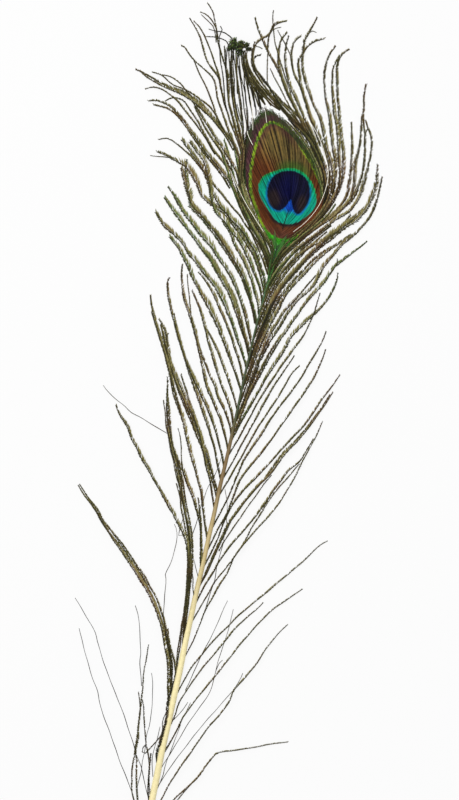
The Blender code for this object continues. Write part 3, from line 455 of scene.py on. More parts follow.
LEFT_MIDDLE = [
    *strands(NORMAL, BRONZE,
        (-54.9, 344.5, -52.8, 338.3, -47, 327.3, -42.6, 319.9, -36.9, 308.2, -33.3, 300, -30.3, 294.5,
         -27.4, 290.1, -24.8, 285.3, -22.3, 280.2, -19.3, 274.3, -17.1, 269.9, -14.6, 265.2, -12, 260,
         -9.4, 255.3, -7.6, 250.9, -6.1, 246.8, -3.4, 239, 0, 230),
        (-52.6, 336.4, -46, 325.3, -41.4, 317.4, -35.6, 306, -30.4, 296.4, -26.4, 289.4)),
    *strands(THICK, BRONZE,
        (-37, 294.6, -34.5, 288, -33, 283, -31, 278.5, -28.5, 272, -25.5, 266, -22.5, 259.5, -19.5, 254,
         -17, 249, -15.5, 244.5, -13.5, 240, -11.5, 235, -9.5, 230, -8.3, 225, -7, 218, -5.8, 211, -4.6, 203,
         -3.7, 194, -3.1, 186, -2.2, 178, -1.4, 168, 0.3, 158)),
    *strands(THICK, OLIVE,
        (-36, 300, -33.5, 291, -31.5, 285, -29.3, 278, -26, 271, -22.5, 264, -19.5, 257, -18, 252, -16, 247,
         -14.5, 243, -12, 238, -10, 233, -8, 227, -6.5, 220, -5, 213, -4, 207, -3, 200, -2.2, 193, -1.5, 186,
         0.2, 176)),
    *strands(NORMAL, BRONZE,
        (-48.2, 333.7, -44, 328.7, -40.5, 321, -36.6, 311.9, -29.6, 302.3, -20.4, 289.4, -14.2, 279.5,
         -8, 269.6, -2.5, 259.3, 0, 254),
        (-46, 330, -41.6, 320.6, -37.2, 311, -30.4, 300.6, -21.6, 287.6, -17, 281, -13, 275.5, -8.8, 268.5,
         -3, 258, 0, 252),
        (-46.6, 331.4, -42.4, 322.6, -37.6, 312.6, -30.8, 302, -22.6, 290.4, -17.4, 282.6),
        (-41.9, 327.8, -42.4, 325.8, -40.6, 321)),
    *strands(NORMAL, OLIVE,
        (-35.1, 351.2, -32.2, 347.1, -26.3, 337.9, -20.8, 326.5, -14.6, 315.2, -7.6, 304.2, -3.2, 297.1,
         0, 289),
        (-24.5, 334.6, -20.1, 329.5, -13.5, 320.7, -6.9, 310.4, 0, 298),
        (-47.3, 355.1, -47.7, 352.3, -45.5, 344.5, -41, 335, -34.7, 323.6, -28.1, 312.6, -20.8, 303.4,
         -14.6, 295.3, -8.3, 285, -2.8, 274.7, 0, 268),
        (-34, 361, -28.5, 356.2, -23, 350, -20.1, 346, -16.8, 341.6, -13.8, 337.2, -10.9, 332.4, -8, 327.6,
         -5.4, 323.6, -2.8, 318.8, -0.6, 313.7, 0, 311),
        (-29.5, 331, -27.8, 328.7, -25.2, 324.3, -23, 320.7, -20.1, 315.9, -17.1, 311.5, -13.5, 307.1,
         -10.9, 302.3, -8, 298.7, -5.8, 295.7, -2.8, 290.8, -1, 287.2, 0, 284),
        (-41.5, 338, -38.5, 331.5, -35.5, 325.5, -32.5, 319.6, -27.8, 311.1, -21.2, 300.9, -14.6, 289.7,
         -7.2, 277.3, -2.8, 267, 0, 261),
        (-31.2, 309.1, -28.5, 304.5, -25, 298.3, -22, 292.8, -13.5, 277.5, -9.8, 268.8, -5, 258.9, 0.1, 246),
        (-37.4, 306.4, -36, 298, -34.8, 293, -33, 287, -31.5, 283, -29.5, 277, -27, 271, -23.5, 266,
         -20, 262.5, -16.5, 257, -13, 252, -10, 246.5, -6.7, 240, -4.5, 235, -3, 229, 0.1, 218),
        (-59.8, 287, -57.4, 283.4, -52.5, 278.5, -50.4, 276, -47.8, 272, -45, 268.7, -41, 263.5, -37.3, 259.6,
         -33, 255, -29, 250.6, -25.5, 246.6, -22.5, 243, -19.5, 239.8, -15.6, 235, -12.5, 231.5, -10, 227.5,
         -8.5, 223, -6.2, 214, -4.4, 203, -2.6, 190, 0.3, 178),
        (-9.5, 251, -7.9, 246.4, -5.6, 239, -3.8, 231.6, -2, 224, 0.1, 214),
        (-42.8, 363, -41, 354.5, -37.5, 345.5, -31.8, 335.7, -27.8, 328.4, -23, 318.1, -17.9, 306.4,
         -13, 299.8, -8, 292.7, -2.5, 282.4, 0.1, 276.5)),
    *strands(FINE, OLIVE,
        (-39.1, 358.6, -36.2, 349.8, -34, 343, -31.8, 336, -27, 327),
        (-27, 282.5, -25, 279, -23, 273, -21, 266, -19, 260.5, -15.5, 255),
        (-6.7, 222, -5, 216, -3, 211, -2, 206.5, 0.1, 201)),
    *strands(WIRE, OLIVE,
        (-67.9, 295.3, -66, 293.5, -60, 289.7, -55, 287.5, -51, 285.2, -45.2, 283.6, -40.5, 281.8,
         -36.5, 280.3, -30, 278.4),
        (-16, 247, -14.5, 242, -14.5, 236, -14.8, 230.4, -12.8, 230.8, -10.8, 231.2),
        (-2.6, 273, -3, 267, -4, 262, -5.6, 257, -6.5, 251, -7.3, 245, -7.5, 238, -8, 231, -7.6, 227),
        (-6, 222, -4, 219, -2.5, 216, 0, 211),
        (-18.1, 235.3, -16.8, 233.5, -15.6, 230, -15, 225, -15.2, 219, -15.7, 215, -17, 210, -16.2, 207.5,
         -15.5, 203, -14.8, 198, -13.8, 192.5, -12.8, 187.5, -11.5, 184.5)),
]

LEFT_LOWER = [
    *strands(THICK, OLIVE,
        (-68.8, 244.5, -64.2, 240, -61, 237.3, -57, 233.8, -52.8, 229, -47.5, 224.5, -42, 220, -37, 214.7,
         -32, 209.8, -27.7, 206, -24, 201.5, -19.8, 196.5, -16, 190.5, -12.5, 184.5, -9.5, 179, -6.5, 172.5,
         -4, 165.5, -2, 157, 0.4, 148)),
    *strands(NORMAL, BRONZE,
        (-63, 238, -60, 235.5, -54.8, 230.4, -50, 225, -45, 220, -39, 214.5, -33.5, 209.5, -28, 204,
         -23, 198.5, -19.5, 194, -16, 189, -13, 184, -11, 179, -8.7, 173, -6, 166, -4, 158, -2.3, 151,
         0.4, 141),
        (-10, 183.5, -8, 178.5, -5.5, 173, -3.2, 168.5, -1.6, 163.5, 0.3, 156)),
    *strands(NORMAL, DARK,
        (-1.4, 166, -1.1, 158, -1.9, 150, -1.4, 144, -0.9, 140, -1, 134, -1.1, 128, -1.5, 121, 0.5, 114),
        (-4.8, 121, -3.5, 113, -2.8, 108, -1.8, 103, 1, 92)),
    *strands(FINE, DARK,
        (-1.2, 144, -2.3, 139, -2.1, 136.5, -1.3, 134, -1, 130),
        (-14.6, 146, -13, 142.5, -11.5, 137, -9.8, 131, -8.5, 127, -7.5, 124, -5.4, 119.4, -3.7, 114.4,
         -2.4, 108, 1, 96),
        (-7.9, 124.6, -9.2, 122.5, -9, 120.8, -7.5, 120.2, -6.3, 121.2, -6, 122.5, -3.8, 126.5, -1.8, 130.5,
         -1.1, 134)),
    *strands(FINE, OLIVE,
        (-54.6, 230, -49, 224.5, -46.5, 221.7),
        (-17.6, 173.8, -17, 167, -16.8, 161, -16.2, 155.5, -15.5, 150, -15, 145.5, -14.3, 139, -13.7, 134,
         -13, 128, -12.6, 122, -12.4, 117, -11.9, 110.5, -10.8, 106, -8.8, 99, 1.1, 78),
        (-17.3, 149.6, -15.5, 145, -14, 138, -13.4, 131, -12.2, 126, -12, 120, -10.6, 116, -9.6, 110,
         -8.3, 104, -6.5, 98, 1.1, 74)),
    *strands(WIRE, DARK,
        (-58.5, 188.5, -51, 181, -44.9, 174.3, -42.8, 170, -40, 164.9, -37, 160, -34, 155.5, -30.3, 150,
         -27.5, 145.5, -24, 140.5, -19.7, 133.8, -16.5, 128.5, -13.5, 123.5, -11.5, 119, -8, 114, -6.5, 111,
         -4.5, 106.5, 0.9, 96),
        (-53.2, 174.2, -50, 168, -44.9, 158.1, -41, 151, -37, 145.5, -34.7, 140, -31, 133.5, -27.5, 128,
         -23, 121, -18.5, 114, -13.5, 106.5, -9.5, 100, 1, 82),
        (-28.2, 191.4, -25.3, 186, -23, 178, -20.5, 169.5, -19.8, 165, -18, 158.5, -16.4, 153),
        (-13, 160.3, -11.6, 156, -10, 149, -8.8, 142.5, -8.2, 136, -8.6, 130, -8.2, 126, -7.9, 121, -7.8, 117,
         -7.2, 112, -7.3, 106, -6.7, 101, 1.1, 72),
        (-3, 135, -3, 130, -3.2, 124, -3.2, 118, -1, 110)),
]

REGIONS = {
    "barbs_left_of_eye": LEFT_OF_EYE,
    "barbs_plume_left": PLUME_LEFT,
    "barbs_plume_right": PLUME_RIGHT,
    "barbs_right_of_eye": RIGHT_OF_EYE,
    "barbs_right_middle": RIGHT_MIDDLE,
    "barbs_right_lower": RIGHT_LOWER,
    "barbs_left_middle": LEFT_MIDDLE,
    "barbs_left_lower": LEFT_LOWER,
}

# The eye's outline: plan y of its foot on the shaft, and its two edges from the foot's side to the top.
EYE_FOOT = 380.5
EYE_LEFT_EDGE = (
    (-21.5, 411.0), (-23.9, 418.0), (-25.2, 425.0), (-25.1, 431.5), (-23.4, 439.0), (-20.8, 444.6),
    (-18.4, 447.2),
)
EYE_RIGHT_EDGE = (
    (21.8, 409.0), (19.5, 416.0), (14.4, 423.2), (8.2, 430.0), (2.8, 435.2), (-3.6, 440.4), (-10.0, 444.4),
    (-15.0, 446.6), (-18.4, 447.2),
)

# Closed lines of the eye's markings, in plan mm, anticlockwise.
RING_LINE = (
    (2.4, 384.9), (6.6, 385.9), (10.6, 388.7), (14.4, 392.7), (18.6, 399.8), (20.8, 406.0), (21.1, 410.0),
    (17.8, 416.3), (12.9, 421.8), (10.0, 426.2), (6.0, 430.0), (2.0, 434.0), (-2.8, 438.4), (-9.0, 441.6),
    (-14.5, 442.0), (-18.0, 438.6), (-19.7, 431.7), (-20.0, 422.9), (-19.3, 413.3), (-17.1, 405.3),
    (-13.5, 398.9), (-9.2, 392.2), (-5.8, 388.4), (-1.8, 385.7),
)
DISC_LINE = (
    (2.3, 393.7), (6.3, 394.5), (10.5, 397.2), (14.9, 402.7), (16.1, 407.0), (14.9, 411.9), (11.6, 417.0),
    (6.0, 421.0), (0.0, 421.6), (-4.7, 419.9), (-9.4, 417.2), (-13.0, 414.0), (-13.9, 409.0), (-12.0, 404.5),
    (-8.0, 400.0), (-4.5, 396.9), (-1.7, 394.5),
)
PUPIL_LINE = (
    (3.4, 406.4), (4.9, 402.9), (7.0, 400.2), (9.4, 400.4), (11.6, 404.5), (12.3, 407.8), (11.8, 412.0),
    (10.3, 416.0), (7.9, 418.7), (4.5, 420.1), (0.1, 420.4), (-4.7, 418.6), (-8.0, 415.3), (-9.2, 409.7),
    (-8.4, 404.6), (-5.4, 400.6), (-1.4, 399.4), (1.4, 401.9),
)


def plan(points: Array, height: Array) -> Array:
    """Turn plan places and heights, in mm, into rows of x, y and z in metres in the frame."""
    return np.column_stack((points - np.array(PLAN_CENTRE), height)) * MM


def smooth_line(points: Array, step: float) -> Array:
    """Sample a Catmull-Rom curve through plan points.

    Args:
        points: Rows of plan x and y.
        step: Distance between samples, in mm.

    Returns:
        Rows of plan x and y, nearly evenly spaced.
    """
    padded = np.vstack((2 * points[0] - points[1], points, 2 * points[-1] - points[-2]))
    t = np.linspace(0, 1, 9)[:-1, None]
    rows = []
    for p0, p1, p2, p3 in zip(padded, padded[1:], padded[2:], padded[3:]):
        pull = (p2 - p0) * t
        bend = (2 * p0 - 5 * p1 + 4 * p2 - p3) * t ** 2
        twist = (3 * p1 - p0 - 3 * p2 + p3) * t ** 3
        rows.append(p1 + (pull + bend + twist) / 2)
    dense = np.vstack((*rows, points[-1:]))
    run = np.concatenate(([0.0], np.cumsum(np.linalg.norm(np.diff(dense, axis=0), axis=1))))
    places = np.linspace(0, run[-1], max(3, round(run[-1] / step) + 1))
    return np.column_stack([np.interp(places, run, dense[:, i]) for i in (0, 1)])


def directions(points: Array) -> tuple[Array, Array]:
    """Find which way a line runs.

    Args:
        points: Rows of x and y, or of x, y and z.

    Returns:
        Each point's unit direction of travel, and the unit vector to its left in plan.
    """
    ahead = np.gradient(points, axis=0)
    ahead /= np.linalg.norm(ahead, axis=1)[:, None] + TINY
    left = np.zeros_like(ahead)
    left[:, 0] = -ahead[:, 1]
    left[:, 1] = ahead[:, 0]
    left /= np.linalg.norm(left, axis=1)[:, None] + TINY
    return ahead, left


def inside_distance(places: Array, outline: Outline, step: float) -> Array:
    """Measure how far places lie inside a closed smooth outline.

    Args:
        places: Rows of plan x and y.
        outline: The outline's points.
        step: Spacing of the outline's samples, in mm.

    Returns:
        Distance to the outline in mm, negative outside.
    """
    nearest = np.full(len(places), np.inf)
    inside = np.zeros(len(places), dtype=bool)
    loop = smooth_line(np.array((*outline, outline[0]), dtype=float), step)
    for p, q in zip(loop, loop[1:]):
        edge = q - p
        share = np.clip(((places - p) @ edge) / (edge @ edge + TINY), 0, 1)
        gap = np.linalg.norm(places - p - share[:, None] * edge, axis=1)
        nearest = np.minimum(nearest, gap)
        crosses = (p[1] > places[:, 1]) != (q[1] > places[:, 1])
        with np.errstate(divide="ignore", invalid="ignore"):
            at = p[0] + (places[:, 1] - p[1]) * (q[0] - p[0]) / (q[1] - p[1])
        inside ^= crosses & (places[:, 0] < at)
    return np.where(inside, nearest, -nearest)


def shaft_at(y: Array) -> tuple[Array, Array]:
    """Return the shaft's plan x and width at plan heights."""
    ys, xs, widths = np.array(SHAFT).T
    return np.interp(y, ys, xs), np.interp(y, ys, widths)


def up_shaft(ends: Pair, height: Array) -> Array:
    """Place rows of x, y and z in metres up the shaft, between two plan y, at heights in mm."""
    y = np.linspace(*ends, len(height))
    return plan(np.column_stack((shaft_at(y)[0], y)), height)


def wave(run: Array, length: float, rng: Rng, shift: float = 0.0) -> Array:
    """Return a sine along a run, with this many mm to a radian, from a random start."""
    return np.sin(run / length + shift + rng.random() * 6)


def linked(name: str, mesh: bpy.types.Mesh) -> Piece:
    """Link a mesh to the scene as an object of its own.

    Args:
        name: The object's name.
        mesh: Its mesh, already in place.

    Returns:
        The linked object.
    """
    obj = bpy.data.objects.new(name, mesh)
    bpy.context.scene.collection.objects.link(obj)
    return obj


def released(name: str, bm: bmesh.types.BMesh) -> Piece:
    """Turn a finished bmesh into a linked object, and free it.

    Args:
        name: The object's name.
        bm: Its shape, already in place.

    Returns:
        The linked object.
    """
    mesh = bpy.data.meshes.new(name)
    bm.to_mesh(mesh)
    bm.free()
    return linked(name, mesh)


class Hair:
    """Collects many small closed strands and blades into one joined mesh.

    Attributes:
        BLADE_DEPTH: Depth of a blade at its middle, as a share of its width.
        BLADE_FADE: How much darker a blade is at its root, its tip and its two sides.
    """

    BLADE_DEPTH = 0.25
    BLADE_FADE = (0.2, -0.22, 0.0, 0.0)

    def __init__(self, name: str) -> None:
        """Start an empty collection.

        Args:
            name: The name of the piece that it becomes.
        """
        self.name = name
        self.places: list[Array] = []
        self.faces: list[Array] = []
        self.marks: dict[str, list[Array]] = {"tone": [], "green": []}
        self.count = 0

    def _add(self, places: Array, faces: Array, tone: Array, green: Array) -> None:
        """Append closed shapes.

        Args:
            places: Rows of x, y and z in metres.
            faces: Rows of four corners; a triangle repeats its last one.
            tone: How dark each corner is.
            green: Its share of green.
        """
        self.places.append(places)
        self.faces.append(faces + self.count)
        for key, values in (("tone", tone), ("green", green)):
            self.marks[key].append(np.broadcast_to(values, len(places)))
        self.count += len(places)

    def tube(self, line: Array, breadth: Array, radius: Array, tone: float, green: Array) -> None:
        """Add one thin four-sided strand, closed at both ends.

        Args:
            line: Rows of x, y and z in metres.
            breadth: Half its width at each row, in metres.
            radius: Half its thickness at each row, in metres.
            tone: How dark it is.
            green: Its share of green at each row.
        """
        _, left = directions(line)
        across = left * breadth[:, None]
        above = np.column_stack((np.zeros((len(line), 2)), radius))
        ring = np.stack([across, above, -across, -above], axis=1)
        places = (line[:, None, :] + ring).reshape(-1, 3)
        rows = np.arange(len(line) - 1)[:, None] * 4
        turn = np.array([[i, (i + 1) % 4, (i + 1) % 4 + 4, i + 4] for i in range(4)])
        sides = (rows[:, None] + turn[None]).reshape(-1, 4)
        last = (len(line) - 1) * 4
        caps = np.array([[3, 2, 1, 0], [last, last + 1, last + 2, last + 3]])
        self._add(places, np.vstack((sides, caps)), np.array(tone), np.repeat(green, 4))

    def blades(self, roots: Array, tips: Array, width: Array, tone: Array, green: Array) -> None:
        """Add closed four-faced blades, widest at half their length.

        Args:
            roots: Rows of x, y and z in metres.
            tips: The blades' tips.
            width: Their greatest width, in metres.
            tone: How dark each is.
            green: Its share of green.
        """
        lean = tips - roots
        lean /= np.linalg.norm(lean, axis=1)[:, None] + TINY
        side = np.cross(lean, (0.0, 0.0, 1.0))
        side /= np.linalg.norm(side, axis=1)[:, None] + TINY
        half = side * width[:, None] / 2
        middle = (roots + tips) / 2 - np.cross(side, lean) * width[:, None] * self.BLADE_DEPTH
        corners = np.stack([roots, tips, middle + half, middle - half], axis=1)
        base = np.arange(len(roots))[:, None, None] * 4
        faces = base + np.array([[0, 2, 1, 1], [0, 1, 3, 3], [0, 3, 2, 2], [2, 3, 1, 1]])
        shades = np.clip(tone[:, None] + np.array(self.BLADE_FADE), 0, 1)
        self._add(corners.reshape(-1, 3), faces.reshape(-1, 4), shades.reshape(-1), np.repeat(green, 4))

    def piece(self) -> Piece:
        """Join everything in one mesh.

        Returns:
            The linked piece, with its marks as attributes.
        """
        faces = [row[:3].tolist() if row[2] == row[3] else row.tolist() for row in np.vstack(self.faces)]
        mesh = bpy.data.meshes.new(self.name)
        mesh.from_pydata(np.vstack(self.places).tolist(), [], faces)
        for key, values in self.marks.items():
            layer = mesh.attributes.new(key, "FLOAT", "POINT")
            layer.data.foreach_set("value", np.concatenate(values).astype(np.float32))
        mesh.update()
        return linked(self.name, mesh)


class Graph:
    """A few short calls that place and link shader nodes."""

    def __init__(self, tree: bpy.types.NodeTree) -> None:
        """Work on this node tree."""
        self.tree = tree

    def node(self, kind: str, **settings: object) -> bpy.types.Node:
        """Add a node.

        Args:
            kind: Its type.
            settings: Its properties.

        Returns:
            The node.
        """
        node = self.tree.nodes.new(kind)
        for key, value in settings.items():
            setattr(node, key, value)
        return node

    def feed(self, socket: Socket, value: Feed) -> None:
        """Link an output to a socket, or set the socket's own value.

        Args:
            socket: The input.
            value: The output to link, or the value to set.
        """
        if isinstance(value, bpy.types.NodeSocket):
            self.tree.links.new(value, socket)
        else:
            socket.default_value = value

    def fill(self, node: bpy.types.Node, **values: Feed) -> bpy.types.Node:
        """Feed a node's inputs by their names.

        Args:
            node: The node.
            values: What each input gets.

        Returns:
            The node.
        """
        for key, value in values.items():
            self.feed(node.inputs[key], value)
        return node

    def mark(self, name: str) -> Socket:
        """Read a float attribute."""
        return self.node("ShaderNodeAttribute", attribute_name=name).outputs["Fac"]

    def math(self, kind: str, *values: Feed) -> Socket:
        """Combine values with a Math node.

        Args:
            kind: The operation.
            values: What it works on, in order.

        Returns:
            The result.
        """
        node = self.node("ShaderNodeMath", operation=kind)
        for socket, value in zip(node.inputs, values):
            self.feed(socket, value)
        return node.outputs[0]

    def step(self, value: Feed, low: float, high: float, to_low: float = 0.0, to_high: float = 1.0) -> Socket:
        """Map a value smoothly from one range to another, clamped.

        Args:
            value: The value.
            low: Where the change starts.
            high: Where it ends.
            to_low: The result before the change.
            to_high: The result after it.

        Returns:
            The mapped value.
        """
        node = self.node("ShaderNodeMapRange", interpolation_type="SMOOTHSTEP")
        for socket, item in zip(node.inputs, (value, low, high, to_low, to_high)):
            self.feed(socket, item)
        return node.outputs[0]

    def mix(self, share: Feed, first: Feed, second: Feed) -> Socket:
        """Blend two colours.

        Args:
            share: The second colour's share.
            first: The first colour.
            second: The second colour.

        Returns:
            The blend.
        """
        node = self.node("ShaderNodeMix", data_type="RGBA")
        self.feed(node.inputs["Factor"], share)
        for socket, tint in zip(node.inputs[6:8], (first, second)):
            self.feed(socket, tint)
        return node.outputs[2]

    def value(self, tint: Feed, value: Feed) -> Socket:
        """Make a colour darker or lighter.

        Args:
            tint: The colour.
            value: What its value is multiplied by.

        Returns:
            The new colour.
        """
        return self.fill(self.node("ShaderNodeHueSaturation"), Value=value, Color=tint).outputs[0]

    def noise(self, scale: tuple[float, float, float], detail: float = 2.0) -> Socket:
        """Place noise over stretched object coordinates.

        Args:
            scale: How fine it is along each axis.
            detail: How many finer layers it has.

        Returns:
            The noise, from 0 to 1.
        """
        mapping = self.node("ShaderNodeMapping")
        self.fill(mapping, Vector=self.node("ShaderNodeTexCoord").outputs["Object"], Scale=scale)
        node = self.node("ShaderNodeTexNoise")
        return self.fill(node, Vector=mapping.outputs[0], Scale=1.0, Detail=detail).outputs["Fac"]

    def centred(self, value: Feed) -> Socket:
        """Shift a value that runs from 0 to 1 so that its middle is 0."""
        return self.math("SUBTRACT", value, 0.5)

    def plan_axis(self, axis: str) -> Socket:
        """Measure along the plan.

        Args:
            axis: X or Y.

        Returns:
            Plan x or y in mm.
        """
        split = self.node("ShaderNodeSeparateXYZ")
        self.feed(split.inputs[0], self.node("ShaderNodeTexCoord").outputs["Object"])
        scaled = self.math("MULTIPLY", split.outputs[axis], 1 / MM)
        return self.math("ADD", scaled, PLAN_CENTRE["XY".index(axis)])

    def bump(self, height: Feed, strength: float, distance: float) -> Socket:
        """Turn a height into a bumped normal.

        Args:
            height: The height, from 0 to 1.
            strength: How strongly it shows.
            distance: Its depth, in metres.

        Returns:
            The normal.
        """
        node = self.node("ShaderNodeBump")
        return self.fill(node, Height=height, Strength=strength, Distance=distance).outputs[0]


def colour(code: str) -> tuple[float, ...]:
    """Turn a hex colour into linear values.

    Args:
        code: A hash sign and six hex digits.

    Returns:
        Red, green, blue and an alpha of 1.
    """
    parts = [int(code[i:i + 2], 16) / 255 for i in (1, 3, 5)]
    linear = [p / 12.92 if p <= 0.04045 else ((p + 0.055) / 1.055) ** 2.4 for p in parts]
    return (*linear, 1.0)


def fine_mottle() -> bpy.types.NodeTree:
    """Build the shared node group that breaks a colour up by fine noise, once.

    Returns:
        The group. It puts out the colour and the noise's value.
    """
    name = "fine_mottle"
    if name in bpy.data.node_groups:
        return bpy.data.node_groups[name]
    tree = bpy.data.node_groups.new(name, "ShaderNodeTree")
    for label, kind, way in (("Colour", "NodeSocketColor", "INPUT"), ("Amount", "NodeSocketFloat", "INPUT"),
                             ("Scale", "NodeSocketFloat", "INPUT"), ("Colour", "NodeSocketColor", "OUTPUT"),
                             ("Value", "NodeSocketFloat", "OUTPUT")):
        tree.interface.new_socket(label, in_out=way, socket_type=kind)
    graph = Graph(tree)
    source = graph.node("NodeGroupInput")
    result = graph.node("NodeGroupOutput")
    noise = graph.node("ShaderNodeTexNoise")
    place = graph.node("ShaderNodeTexCoord").outputs["Object"]
    graph.fill(noise, Vector=place, Scale=source.outputs["Scale"], Detail=3.0)
    value = graph.math("MULTIPLY_ADD", graph.centred(noise.outputs["Fac"]), source.outputs["Amount"], 1.0)
    graph.fill(result, Colour=graph.value(source.outputs["Colour"], value), Value=noise.outputs["Fac"])
    return tree


@dataclass(frozen=True)
class Finish:
    """What every finish shares.

    Attributes:
        name: The material's name.
        roughness: How rough the surface is.
        gloss: How much it mirrors.
    """

    name: str
    roughness: float
    gloss: float

    def _start(self) -> tuple[bpy.types.Material, Graph, bpy.types.Node]:
        """Start a material of this roughness and gloss.

        Returns:
            The material, its graph and its Principled shader.
        """
        material = bpy.data.materials.new(self.name)
        material.use_nodes = True
        shader = material.node_tree.nodes["Principled BSDF"]
        shader.inputs["Roughness"].default_value = self.roughness
        shader.inputs["Specular IOR Level"].default_value = self.gloss
        return material, Graph(material.node_tree), shader

    def _coat(self, graph: Graph, shader: bpy.types.Node, tint: Feed, mottle: Pair, relief: Pair,
              height: Optional[Socket] = None) -> None:
        """Give the shader a mottled colour and a fine relief.

        Args:
            graph: The material's graph.
            shader: Its Principled shader.
            tint: The colour.
            mottle: How strong the mottle is, and how fine.
            relief: How strongly the relief shows, and its depth in metres.
            height: The relief's height, where it isn't the mottle's.
        """
        group = graph.node("ShaderNodeGroup", node_tree=fine_mottle())
        graph.fill(group, Colour=tint, Amount=mottle[0], Scale=mottle[1])
        graph.feed(shader.inputs["Base Color"], group.outputs["Colour"])
        graph.feed(shader.inputs["Normal"], graph.bump(height or group.outputs["Value"], *relief))


@dataclass(frozen=True)
class ShaftFinish(Finish):
    """Smooth horn: cream at the quill, tan and brown further up, dark olive and green at the eye.

    Attributes:
        quill: Its colour at the quill.
        changes: Each further colour, with the plan y where it starts to show and where it is full.
        waver: How far the changes run up and down in streaks, in mm.
    """

    quill: str = "#cfc496"
    changes: tuple[tuple[str, float, float], ...] = (
        ("#a59366", 170.0, 235.0), ("#6a5534", 228.0, 268.0), ("#303a1e", 272.0, 306.0),
        ("#2c5430", 330.0, 365.0),
    )
    waver: float = 40.0

    def material(self) -> bpy.types.Material:
        """Build the shaft's material.

        Returns:
            The material.
        """
        material, graph, shader = self._start()
        streak = graph.noise((900.0, 25.0, 900.0))
        shifted = graph.math("MULTIPLY_ADD", graph.centred(streak), self.waver, graph.plan_axis("Y"))
        tint = colour(self.quill)
        for code, start, full in self.changes:
            tint = graph.mix(graph.step(shifted, start, full), tint, colour(code))
        self._coat(graph, shader, tint, (0.35, 700.0), (0.25, 0.0002), streak)
        return material


@dataclass(frozen=True)
class BarbFinish(Finish):
    """Wiry barbs and barbules, pale to dark by their tone mark and flushed by their green mark."""

    dark: str = "#14130a"
    brown: str = "#5c4426"
    olive: str = "#514b24"
    pale: str = "#8a8254"
    green: str = "#466a2c"
    drift: float = 0.25

    def material(self) -> bpy.types.Material:
        """Build the barbs' material.

        Returns:
            The material.
        """
        material, graph, shader = self._start()
        drift = graph.noise((650.0, 650.0, 650.0), 3.0)
        tone = graph.math("MULTIPLY_ADD", graph.centred(drift), self.drift, graph.mark("tone"))
        patch = graph.step(graph.noise((45.0, 45.0, 25.0)), 0.36, 0.54)
        tint = graph.mix(patch, colour(self.brown), colour(self.olive))
        flush = graph.math("MULTIPLY", graph.mark("green"), graph.step(drift, 0.25, 0.6))
        tint = graph.mix(flush, tint, colour(self.green))
        tint = graph.mix(graph.step(tone, 0.0, 0.45), colour(self.pale), tint)
        tint = graph.mix(graph.step(tone, 0.4, 0.9), tint, colour(self.dark))
        self._coat(graph, shader, tint, (0.35, 1500.0), (0.3, 0.0001))
        return material


@dataclass(frozen=True)
class Blob:
    """A soft oval of colour on the eye.

    Attributes:
        centre: Plan x and y of its middle, in mm.
        reach: Half its width and half its height, in mm.
    """

    centre: Pair
    reach: Pair


class EyeSpot(NamedTuple):
    """Where a point of the eye lies.

    Attributes:
        x: Plan x in mm.
        y: Plan y in mm.
        ring: How far it lies inside the ring's line, in mm.
        disc: The same for the disc.
        pupil: The same for the pupil.
    """

    x: Socket
    y: Socket
    ring: Socket
    disc: Socket
    pupil: Socket


